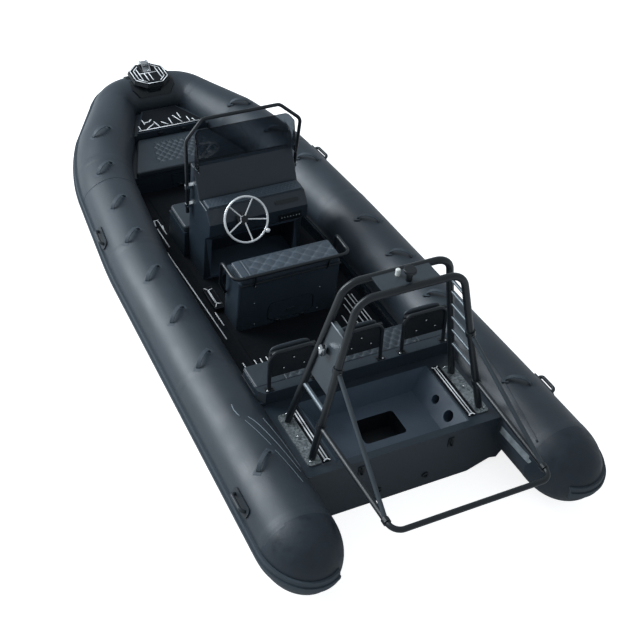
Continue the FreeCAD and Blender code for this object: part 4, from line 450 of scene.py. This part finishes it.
def foot_patch(point, outward, way, across, radius, end):
    """A rectangular patch of cloth draped on the tube: sunk by r - sqrt(r^2 - w^2), thin at its rim."""
    m = FOOT_GRID
    u, v = np.meshgrid(np.linspace(-1, 1, m), np.linspace(-1, 1, m), indexing="ij")
    rim = np.minimum(1 - np.abs(u), 1 - np.abs(v)) * (m - 1) * HALF
    rise = FOOT_T * np.clip(rim, 0, 1) ** HALF
    reach = end * HANDLE_SPAN * HALF + u * FOOT_LENGTH * HALF
    wide = v * FOOT_WIDTH * HALF
    crosswise = reach * math.sin(HANDLE_SKEW) + wide * math.cos(HANDLE_SKEW)
    sink = radius - np.sqrt(radius ** 2 - crosswise ** 2)
    top = point + way * reach[..., None] + across * wide[..., None] + outward * (rise - sink)[..., None]
    base = top - outward * (rise + FOOT_SUNK)[..., None]
    n = u.size
    rim_loop = np.concatenate([np.arange(m), np.arange(2, m) * m - 1, [n - 1],
                               np.arange(n - 2, n - m - 1, -1), np.arange(n - 2 * m, 0, -m)])
    follow = np.roll(rim_loop, -1)
    sides = np.stack([rim_loop, rim_loop + n, follow + n, follow], 1)
    points = np.concatenate([top.reshape(-1, 3), base.reshape(-1, 3)])
    return points, [quads(m, m)[:, ::-1], quads(m, m, start=n), sides]


make_grab_handles()


# Upholstery
def spread(half, edge, step):
    """Grid stations across a cushion: even in the middle, bunched over the rolled edge."""
    roll = half - edge * (1 - np.cos(np.linspace(0, math.pi * HALF, 7)))
    flat = np.linspace(edge - half, half - edge, int((half - edge) * 2 / step) + 1)[1:-1]
    return np.concatenate([-roll, flat, roll[::-1]])


QUILT_FADE = 0.012
SEAM_DEPTH, SEAM_WIDTH = 0.006, 0.0035
SIDE_BULGE = 0.0035
CORD_R = 0.0034
QUILT_DEPTH = 0.009
STITCH_SHARPNESS = 3.4


def round_corners(x, y, a, b, r):
    """Maps each corner square of a rectangle on to a quarter disc: p*sqrt(1 - q^2/2), q*sqrt(1 - p^2/2)."""
    p, q = np.clip((np.abs(x) - a + r) / r, 0, 1), np.clip((np.abs(y) - b + r) / r, 0, 1)
    corner = (p > 0) & (q > 0)
    round_x = np.sign(x) * (a - r + r * p * np.sqrt(1 - q * q * HALF))
    round_y = np.sign(y) * (b - r + r * q * np.sqrt(1 - p * p * HALF))
    return np.where(corner, round_x, x), np.where(corner, round_y, y)


def quilting(x, y, centre, reach, pitch, depth):
    """Depth of diamond quilting below the plain vinyl, faded out to nothing at the border.

    With u = x/pitch and v = y/pitch the puffs are |sin(pi*(u + v)) * sin(pi*(u - v))|^0.4, stitched at
    their zeros."""
    u, v = (x - centre[0]) / pitch[0], (y - centre[1]) / pitch[1]
    puff = np.abs(np.sin(math.pi * (u + v)) * np.sin(math.pi * (u - v))) ** 0.4
    fade = [np.clip((r - np.abs(c - m)) / QUILT_FADE, 0, 1) for c, m, r in zip((x, y), centre, reach)]
    return depth * (1 - puff) * fade[0] * fade[1]


def cushion(node, body, plan, low, high, corner, edge, crown, quilts=(), seams=(), cover=vinyl, shift=0.0):
    """A stuffed seat: crown*(1 - (x/a)^4)*(1 - (y/b)^4) on top, a rolled rim, bulging sides and piping.

    plan is (aft half width, front half width, aft y, front y); the grid is drawn in to the trapezoid.
    Each quilt sinks the top as above, each seam by depth*exp(-((x - seam)/width)^2)."""
    half_aft, half_front, y_aft, y_front = plan
    a, b = max(half_aft, half_front), (y_front - y_aft) * HALF
    x, y = np.meshgrid(spread(a, edge, 0.005), spread(b, edge, 0.005), indexing="ij")
    inset = np.minimum(a - np.abs(x), b - np.abs(y))
    fall = edge - np.sqrt(np.clip(edge ** 2 - np.clip(edge - inset, 0, edge) ** 2, 0, None))
    z = high - fall + crown * (1 - (x / a) ** 4) * (1 - (y / b) ** 4)
    sunk = sum((quilting(x, y, *quilt) for quilt in quilts), np.zeros_like(x))
    z -= sunk
    for seam in seams:
        z -= SEAM_DEPTH * np.exp(-((x - seam) / SEAM_WIDTH) ** 2) * np.clip(inset / edge, 0, 1)
    x, y = round_corners(x, y, a, b, corner)
    x = x * (half_aft + (half_front - half_aft) * (y / b + 1) * HALF) / a
    top = np.stack([x + shift, y + (y_aft + y_front) * HALF, z], -1).reshape(-1, 3)
    index = np.arange(x.size).reshape(x.shape)
    loop = np.concatenate([index[:-1, 0], index[-1, :-1], index[:0:-1, -1], index[0, :0:-1]])
    rim, n = top[loop], len(loop)
    outward = unit((rim - rim.mean(0)) * (1, 1, 0))
    rim[:, 2] = high - edge
    share = np.linspace(0, 1, 7)[1:]
    walls = [rim * (1, 1, 0) + UP * (high - edge - (high - edge - low) * s)
             + outward * SIDE_BULGE * math.sin(math.pi * s) for s in share]
    rings = [loop] + [x.size + k * n + np.arange(n) for k in range(len(walls))]
    faces = [quads(*x.shape)[:, ::-1]]
    faces += [np.stack([i, j, np.roll(j, -1), np.roll(i, -1)], 1) for i, j in zip(rings[:-1], rings[1:])]
    bottom = x.size + len(walls) * n
    faces.append(np.stack([np.full(n, bottom), np.roll(rings[-1], -1), rings[-1]], 1))
    points = np.concatenate([top, *walls, walls[-1].mean(0)[None]])
    made = piece(node.replace("_cushion", "") + "_upholstery", points, faces, cover, "upholstery", body)
    # Pale along the quilting's stitch lines: the stitching itself, and a painted highlight on the ridges
    # beside them
    stitch = np.zeros(len(made.data.vertices))
    stitch[:x.size] = np.clip(sunk.ravel() / QUILT_DEPTH, 0, 1) ** STITCH_SHARPNESS
    made.data.attributes.new("stitch", "FLOAT", "POINT").data.foreach_set("value", stitch)
    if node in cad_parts:
        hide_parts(node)
    angle = np.linspace(0, 2 * math.pi, 10, endpoint=False)
    ring = outward[:, None] * np.cos(angle)[None, :, None] + UP * np.sin(angle)[None, :, None]
    cord = (rim + UP * (edge * 0.1))[:, None] + CORD_R * ring
    loops = [quads(n, len(angle), True, True)]
    piece(node + "_piping", cord.reshape(-1, 3), loops, vinyl_piping, "upholstery", body)


def backrest_pad(number, x, half=0.150, low=0.672, high=0.862, y=0.776, depth=0.036, lean=0.085):
    """Stuffed pad on the front of a backrest: |across|^5 + |up|^5 = 1 outlines, shrunk by cos(a)^0.35
    towards both faces and leaned forward with height."""
    angle = np.linspace(0, 2 * math.pi, 72, endpoint=False)
    across, rise = rounded(np.cos(angle), 0.4), rounded(np.sin(angle), 0.4)
    turn = np.linspace(-math.pi * HALF, math.pi * HALF, 17)[1:-1]
    shrink = np.cos(turn) ** 0.35
    centre_z, reach = (low + high) * HALF, (high - low) * HALF
    up = centre_z + reach * shrink[:, None] * rise
    forward = y + depth * HALF * (1 + np.sin(turn))[:, None] + lean * (up - centre_z)
    points, faces = capped_tube(np.stack([x + half * shrink[:, None] * across, forward, up], -1))
    piece(f"backrest_pad_{number}", points, faces, vinyl, "upholstery")


DIAMOND = (0.074, 0.080)
cushion("bow_seat_cushion", "boat", (0.499, 0.317, 3.651, 4.109), 0.2685, 0.318, 0.030, 0.012, 0.006,
        [((0, 0), (0.31, 0.150), DIAMOND, QUILT_DEPTH)])
cushion("console_seat_cushion", "console seat", (0.438, 0.438, 2.752, 3.068), 0.3305, 0.388, 0.035, 0.013,
        0.006, [((0, 0), (0.34, 0.115), DIAMOND, QUILT_DEPTH)])
cushion("helm_seat_cushion", "boat", (0.400, 0.400, 1.781, 1.984), 0.549, 0.610, 0.024, 0.012, 0.005,
        [((0.035, 0), (0.355, 0.088), (0.108, 0.096), QUILT_DEPTH)], (-0.332,), pale_vinyl)
cushion("bench_cushion", "bench seat", (0.739, 0.739, 0.779, 0.997), 0.4825, 0.544, 0.024, 0.013, 0.004,
        [((0, 0), (0.50, 0.098), (0.070, 0.088), QUILT_DEPTH)], (-0.515, 0.515))
cushion("dash_pad", "boat", (0.388, 0.388, 2.431, 2.541), 0.7685, 0.786, 0.010, 0.006, 0.001,
        [((0, 0), (0.37, 0.05), (0.031, 0.045), 0.005)], (), pale_vinyl)

BACKREST_X = (-0.505, 0.0, 0.505)
for number, x in enumerate(BACKREST_X):
    backrest_pad(number, x)


# Inlaid lines of pale foam, fasteners and small trim
def strips(name, body, lines, width, material, slot, thickness=0.0018):
    """Flat strips along the legs of polylines, half sunk in what they lie on, as one mesh of ribbons."""
    bag = ([], [])
    for line in lines:
        line = np.array(line, float)
        for start, end in zip(line[:-1], line[1:]):
            store(bag, *capped_tube(ribbon(np.stack([start, end]), UP, width, thickness, 0.5)))
    return piece(name, np.concatenate(bag[0]), bag[1], material, slot, body)


def flat(z, *lines):
    """Plan polylines lifted to one height."""
    return [[(x, y, z) for x, y in line] for line in lines]


DECK_LINES = flat(0.1062, [(-0.512, 3.151), (-0.508, 2.897)],
                  [(-0.512, 3.185), (-0.500, 3.26), (-0.462, 3.258)],
                  [(-0.470, 3.25), (-0.468, 3.06)], [(-0.468, 3.12), (-0.456, 3.18)],
                  [(-0.552, 2.84), (-0.52, 1.727)], [(-0.588, 1.904), (-0.577, 1.40)],
                  [(-0.482, 2.035), (-0.478, 1.875)], [(-0.515, 1.45), (-0.514, 1.34)],
                  [(-0.425, 1.45), (-0.425, 1.12)], [(-0.378, 1.45), (-0.378, 1.12)],
                  [(-0.330, 1.45), (-0.330, 1.12)], [(0.406, 1.656), (0.404, 1.12)],
                  [(0.482, 1.77), (0.484, 1.35)], [(0.524, 1.835), (0.530, 1.35)],
                  [(0.565, 1.865), (0.572, 1.35)], [(0.594, 1.86), (0.600, 1.35)])
STERN_LINES = [line for side in (1, -1) for line in
               flat(0.4522, [(side * 0.525, 0.597), (side * 0.536, 0.585), (side * 0.560, 0.585),
                             (side * 0.572, 0.597)],
                    [(side * 0.538, 0.585), (side * 0.538, 0.108)],
                    [(side * 0.558, 0.585), (side * 0.558, 0.108)],
                    [(side * 0.572, 0.094), (side * 0.558, 0.108), (side * 0.538, 0.108),
                     (side * 0.526, 0.094)])]
LID_LINES = flat(0.3782, [(-0.292, 4.150), (0.292, 4.150)], [(-0.270, 4.225), (-0.268, 4.160)],
                 [(-0.208, 4.307), (-0.209, 4.229)], [(-0.208, 4.255), (-0.155, 4.263), (-0.125, 4.295)],
                 [(-0.212, 4.160), (-0.129, 4.222)], [(-0.118, 4.251), (-0.098, 4.162)],
                 [(-0.061, 4.231), (-0.014, 4.172)], [(0.023, 4.266), (0.021, 4.17)],
                 [(0.070, 4.293), (0.115, 4.17)], [(0.122, 4.318), (0.123, 4.232)],
                 [(0.180, 4.238), (0.182, 4.160)], [(0.215, 4.197), (0.228, 4.160)])
NOSE_LINES = flat(0.5932, [(-0.068, 4.520), (0.068, 4.520), (0.146, 4.600), (0.146, 4.762), (0.070, 4.842)],
                  [(-0.068, 4.520), (-0.146, 4.600), (-0.146, 4.762), (-0.070, 4.842)],
                  [(-0.060, 4.545), (-0.116, 4.606), (-0.116, 4.752), (-0.060, 4.815)],
                  [(0.060, 4.545), (0.116, 4.606), (0.116, 4.752), (0.060, 4.815)],
                  [(-0.085, 4.585), (-0.085, 4.770)], [(0.085, 4.585), (0.085, 4.770)],
                  [(-0.083, 4.690), (0.083, 4.690)], [(0.0, 4.690), (0.0, 4.560)],
                  [(-0.040, 4.560), (-0.040, 4.690)])
MOULDED_LINES = flat(0.4465, [(0.497, 0.602), (0.497, 0.072)], [(-0.497, 0.602), (-0.497, 0.072)],
                     [(-0.586, 0.59), (-0.586, 0.072)])
INLAY_W = 0.0085
strips("deck_inlays", "boat", DECK_LINES, INLAY_W, eva_line, "foam_pad")
strips("stern_inlays", "boat", STERN_LINES, INLAY_W, eva_line, "foam_pad")
strips("nose_inlays", "boat", NOSE_LINES, 0.0075, eva_line, "foam_pad")
strips("lid_inlays", "locker lid", LID_LINES, INLAY_W, eva_line, "foam_pad")
strips("stern_moulded_lines", "boat", MOULDED_LINES, 0.004, grey_line, "deck_moulding")


TAPE_SEAT = 0.0012
# Pale lines along tape edges and folds on the port tube: painted highlights where light catches them
TAPE_EDGE_HIGHLIGHTS = (([(0.516, -32.1), (0.330, -44.6), (0.10, -56.0)], 0.006),
              ([(0.535, -7.4), (0.473, -15.6), (0.354, -23.4), (0.236, -31.4), (0.024, -43.7)], 0.006),
              ([(0.514, -0.2), (0.384, -9.1), (0.252, -17.0)], 0.003),
              ([(0.207, -18.1), (0.069, -25.8), (-0.088, -33.5)], 0.003),
              ([(0.676, 5.4), (0.623, 6.6), (0.562, 4.1)], 0.006))
STARBOARD_TAPE = [(0.674, -12.5), (0.226, -22.2), (-0.340, -46.0)]
# A reinforcing strip on the starboard tube's inner side aft of the transom, painted pale: a painted
# highlight
STRIP_HIGHLIGHT_STATIONS = [(-0.040, -77.0), (-0.290, -75.5), (-0.500, -73.0)]


def tube_line(side, stations, width, thickness=0.0024):
    """A flat strip on the tube's skin through (y, tilt in degrees) stations, interpolated evenly in y and
    tilt at 40 places and then averaged over seven."""
    stations = np.array(stations, float)
    share = np.linspace(0, 1, 40)
    knots = np.linspace(0, 1, len(stations))
    found = [on_collar(y, side, math.radians(tilt)) for y, tilt in
             zip(np.interp(share, knots, stations[:, 0]), np.interp(share, knots, stations[:, 1]))]
    outward = np.array([place[1] for place in found])
    path = np.array([place[0] for place in found]) + outward * TAPE_SEAT
    padded = np.pad(path, ((3, 3), (0, 0)), "edge")
    path[3:-3] = np.apply_along_axis(np.convolve, 0, padded, np.ones(7) / 7, "valid")[3:-3]
    return capped_tube(ribbon(path, outward, width, thickness, 0.5))


def make_tube_lines():
    """Painted highlights along tape edges and folds beside the stern deck, and the tape of the starboard
    tube and a strip on it painted pale as a highlight.
    """
    bag = ([], [])
    for stations, width in TAPE_EDGE_HIGHLIGHTS:
        store(bag, *tube_line(-1, stations, width))
    piece("port_tube_highlight_lines", np.concatenate(bag[0]), bag[1], tape_edge_highlight, "tube_fabric")
    piece("starboard_tape", *tube_line(1, STARBOARD_TAPE, 0.016, 0.004), seam_tape, "tube_fabric")
    piece("starboard_strip_highlight", *tube_line(1, STRIP_HIGHLIGHT_STATIONS, 0.050), strip_highlight_finish, "strake_rubber")


make_tube_lines()


RIM_SHARE = 0.18
DOME_SHARE = 0.7
STUD_SUNK = 0.002


def drum(name, centre, radius, height, material, slot):
    """Upright drum with rounded rims: rings of radius r - e + e*cos(a) at heights h/2 - e + e*sin(a), and
    the same below."""
    turn = np.linspace(0, math.pi * HALF, 5)
    edge = radius * RIM_SHARE
    wide = np.concatenate([radius - edge + edge * np.cos(turn[::-1]), radius - edge + edge * np.cos(turn)])
    tall = height * HALF - edge + edge * np.sin(turn)
    tall = np.concatenate([-tall[::-1], tall])
    angle = np.linspace(0, 2 * math.pi, 28, endpoint=False)
    ring = np.stack([np.cos(angle), np.sin(angle), 0 * angle], 1)
    sections = np.array(centre) + ring[None] * wide[:, None, None] + UP * tall[:, None, None]
    points, faces = capped_tube(sections)
    return piece(name, points, faces, material, slot)


drum("horn_bell", (-0.507, 0.381, 1.150), 0.027, 0.060, stainless, "stainless")
strips("side_plate_flange", "boat", [[(-0.420, 0.425, 1.322), (-0.420, 0.262, 1.322)]], 0.030, aluminium,
       "grey_metal", 0.006)
strips("side_plate_edge", "boat", [[(-0.439, 0.428, 1.323), (-0.439, 0.260, 1.323)]], 0.006, abs_mark,
       "grey_metal", 0.008)

# Foam step beside the helm seat with its bracket of pale lines
STEP_LINES = flat(0.1452, [(-0.472, 2.282), (-0.447, 2.250), (-0.412, 2.262)],
                  [(-0.447, 2.250), (-0.447, 2.090), (-0.414, 2.075)], [(-0.455, 2.250), (-0.455, 2.090)],
                  [(-0.472, 2.050), (-0.447, 2.090)])
cushion("helm_foot_step", "boat", (0.036, 0.036, 2.036, 2.290), 0.101, 0.145, 0.010, 0.006, 0.0, (), (),
        eva_foam, -0.443)
strips("step_inlays", "boat", STEP_LINES, 0.006, eva_line, "foam_pad")


def studs(name, places, radius, material, slot, body="boat"):
    """Domed heads over (place, axis) pairs: rings of radius r*cos(a) at height share*r*sin(a)."""
    bag = ([], [])
    rise = np.linspace(0, math.pi * HALF, 6)[:-1]
    angle = np.linspace(0, 2 * math.pi, 16, endpoint=False)
    for place, axis in places:
        axis = unit(np.array(axis, float))
        side = unit(np.cross(axis, (0.31, 0.59, 0.74)))
        ring = side * np.cos(angle)[:, None] + np.cross(axis, side) * np.sin(angle)[:, None]
        heights = np.concatenate([[-STUD_SUNK], radius * DOME_SHARE * np.sin(rise)])
        widths = np.concatenate([[radius], radius * np.cos(rise)])
        store(bag, *capped_tube(np.array(place) + ring[None] * widths[:, None, None]
                                + axis * heights[:, None, None]))
    return piece(name, np.concatenate(bag[0]), bag[1], material, slot, body)


AFT = (0, -1, 0)
HELM_SCREWS = ((-0.286, 0.500), (-0.286, 0.340), (-0.274, 0.134), (0.256, 0.340), (0.252, 0.134))
BACKREST_SCREWS = ((0.005, 0.7365, 0.782), (-0.066, 0.733, 0.712), (0.083, 0.733, 0.712))
BENCH_FEET_X = (-0.688, -0.322, -0.183, 0.183, 0.322, 0.688)
PLATE_BOLTS = ((0.634, 0.347), (0.612, 0.562), (0.655, 0.120))
RIVET_Y = (2.85, 2.35, 1.87, 1.30)
studs("helm_fasteners", [((x, 1.779, z), AFT) for x, z in HELM_SCREWS], 0.0055, stainless, "stainless")
studs("backrest_fasteners", [((x + dx, y, z), (0, -1, 0.1)) for x in BACKREST_X
                             for dx, y, z in BACKREST_SCREWS], 0.0065, stainless, "stainless")
studs("bench_feet_bolts", [((x, 0.712, 0.560), UP) for x in BENCH_FEET_X], 0.0085, stainless, "stainless")
studs("base_plate_bolts", [((x * side, y, 0.461), UP) for side in (-1, 1) for x, y in PLATE_BOLTS], 0.0085,
      stainless, "stainless")
studs("switch_ticks", [((0.159 + 0.0248 * k, 2.336, 0.612), AFT) for k in range(1, 8)], 0.0042, abs_mark,
      "black_plastic")
studs("deck_edge_rivets", [((-0.672 + 0.012 * (k % 2), y, 0.101), UP) for k, y in enumerate(RIVET_Y)],
      0.004, stainless, "stainless")


# Finishes of the solid parts
def dress(node, material, *zones):
    """Gives a CAD node one finish; each zone is (finish, test on its face centres) for a part of it."""
    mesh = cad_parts[node].data
    mesh.materials.clear()
    for each in (material, *(zone[0] for zone in zones)):
        mesh.materials.append(each)
    index = np.zeros(len(mesh.polygons), int)
    middle = np.empty(len(mesh.polygons) * 3)
    mesh.polygons.foreach_get("center", middle)
    for number, (_, test) in enumerate(zones):
        index[test(middle.reshape(-1, 3))] = number + 1
    mesh.polygons.foreach_set("material_index", index)


DRESS = {
    hull_gelcoat: ["hull"],
    sole_paint: ["deck_sole"],
    deck_gelcoat: ["transom", "stern_deck", "bench_base", "bench_lid", "bow_locker", "bow_locker_lid",
                   "bow_seat_base", "bow_seat_door", "console_body", "console_seat_base",
                   "console_seat_lid"],
    painted_fill_helm_gelcoat: ["helm_seat_box", "helm_locker_door"],
    strake_rubber: ["rub_strake", "keel_guard"],
    handle_rubber: ["carry_handles"],
    eva_foam: ["foam_pads", "bow_locker_pad"],
    black_abs_and_painted_shade: ["bow_step", "switch_panel", "hinge_leaves", "steering_boss", "towing_eyes",
                "backrest_panels"],
    powder_coat: ["arch_aft_hoop", "arch_forward_hoop", "backrest_frames", "helm_seat_rail",
                  "windscreen_rail", "tow_frame"],
    grey_coat: ["arch_top_plate", "arch_side_plate", "tow_struts"],
    aluminium: ["arch_rungs"],
    galvanised: ["arch_base_plates"],
    stainless: ["anchor_roller"],
    acrylic: ["windscreen"],
    vinyl: ["bench_cushion", "bow_seat_cushion", "console_seat_cushion", "helm_seat_cushion", "dash_pad"],
}
for material, nodes in DRESS.items():
    for node in nodes:
        dress(node, material)


def within(x, y, z):
    """A test on face centres: each coordinate between its two bounds."""
    low, high = np.array([x, y, z]).T
    return lambda c: ((c > low) & (c < high)).all(axis=1)


FAR = 9.0
WHEEL_HUB = (-0.155, 2.262, 0.739)
WHEEL_HUB_R = 0.047
# Inside the stern well the gelcoat is painted paler: painted fill light on its shaded faces
dress("stern_deck", deck_gelcoat, (painted_fill_gelcoat, within((-0.506, 0.506), (-FAR, 0.64), (-FAR, 0.44))),
      # The hatch recess in the well's floor takes the black finish: painted shade in the opening
      (black_abs_and_painted_shade, within((-0.165, 0.165), (-FAR, 0.48), (-FAR, 0.287))))
# The console's low aft face is painted paler: painted fill light on its shaded face
dress("console_body", deck_gelcoat, (painted_fill_gelcoat, within((-0.38, 0.38), (-FAR, 2.72), (-FAR, 0.49))))
dress("bench_base", deck_gelcoat, (aluminium, within((-FAR, -0.706), (-FAR, 0.742), (0.475, 0.552))))
dress("arch_horn", black_abs_and_painted_shade, (stainless, within((-FAR, -0.494), (-FAR, FAR), (-FAR, FAR))))
dress("arch_lights", black_abs_and_painted_shade, (opal, within((-FAR, FAR), (0.350, FAR), (-FAR, FAR))))
dress("tube_clamps", powder_coat, (stainless, within((-FAR, FAR), (2.6, FAR), (0.6, FAR))))
# The wheel's rim takes the painted reflection finish; its hub is black plastic
dress("steering_wheel", steel_with_painted_reflection,
      (black_abs_and_painted_shade, lambda c: np.linalg.norm(c - WHEEL_HUB, axis=1) < WHEEL_HUB_R))


# Light, floor and backdrop
def area_light(name, place, aim, size, power, colour):
    """A square soft box at a place, facing a point."""
    lamp = bpy.data.lights.new(name, "AREA")
    lamp.color = colour
    lamp.size = size
    lamp.energy = power
    made = bpy.data.objects.new(name, lamp)
    made.location = place
    made.rotation_euler = (Vector(aim) - Vector(place)).to_track_quat("-Z", "Y").to_euler()
    bpy.context.scene.collection.objects.link(made)


SKY_COLOUR = (0.84, 0.93, 1, 1)


def make_world(ambient, reflected):
    """White for the camera, an even pale blue-grey sky for everything else."""
    world = bpy.data.worlds.new("sky")
    bpy.context.scene.world = world
    world.use_nodes = True
    tree = world.node_tree
    tree.nodes.clear()
    path = add(tree, "LightPath")
    seen = path.outputs["Is Camera Ray"]
    soft = add(tree, "MapRange", {"Value": path.outputs["Is Glossy Ray"]}, To_Min=ambient, To_Max=reflected)
    level = add(tree, "Math", {0: seen, 1: soft.outputs["Result"]}, operation="MAXIMUM")
    hue = add(tree, "MixRGB", {"Fac": seen}, Color1=SKY_COLOUR, Color2=(1, 1, 1, 1))
    shade = add(tree, "Background", {"Strength": level.outputs["Value"], "Color": hue.outputs["Color"]})
    add(tree, "OutputWorld", {"Surface": shade.outputs["Background"]})


def make_floor(size=60.0):
    """A white floor at the waterline that keeps the shadow: it glows for the camera alone."""
    made = bpy.data.materials.new("floor_white")
    made.use_nodes = True
    tree = made.node_tree
    tree.nodes.clear()
    path = add(tree, "LightPath")
    matte = add(tree, "BsdfDiffuse", Color=linear("#d8d8d8"))
    glow = add(tree, "Emission", Color=(1, 1, 1, 1), Strength=0.8)
    both = add(tree, "MixShader", {0: path.outputs["Is Camera Ray"], 1: matte.outputs["BSDF"]})
    lit = add(tree, "AddShader", {0: matte.outputs["BSDF"], 1: glow.outputs["Emission"]})
    tree.links.new(lit.outputs["Shader"], both.inputs[2])
    add(tree, "OutputMaterial", {"Surface": both.outputs["Shader"]})
    data = bpy.data.meshes.new("floor")
    h = size * HALF
    data.from_pydata([(-h, -h, 0), (h, -h, 0), (h, h, 0), (-h, h, 0)], [], [(0, 1, 2, 3)])
    data.materials.append(made)
    floor = bpy.data.objects.new("floor", data)
    bpy.context.scene.collection.objects.link(floor)


AIM = (0, 2, 0.3)
make_world(ambient=0.58, reflected=0.44)
make_floor()
area_light("key", (-9.5, 10.4, 6.2), AIM, 5.5, 1350.0, (0.87, 0.945, 1.0))
area_light("upper", (-6.4, 10.4, 11.6), AIM, 7.5, 1050.0, (0.87, 0.94, 1.0))
scene = bpy.context.scene
scene.view_settings.view_transform = "Standard"
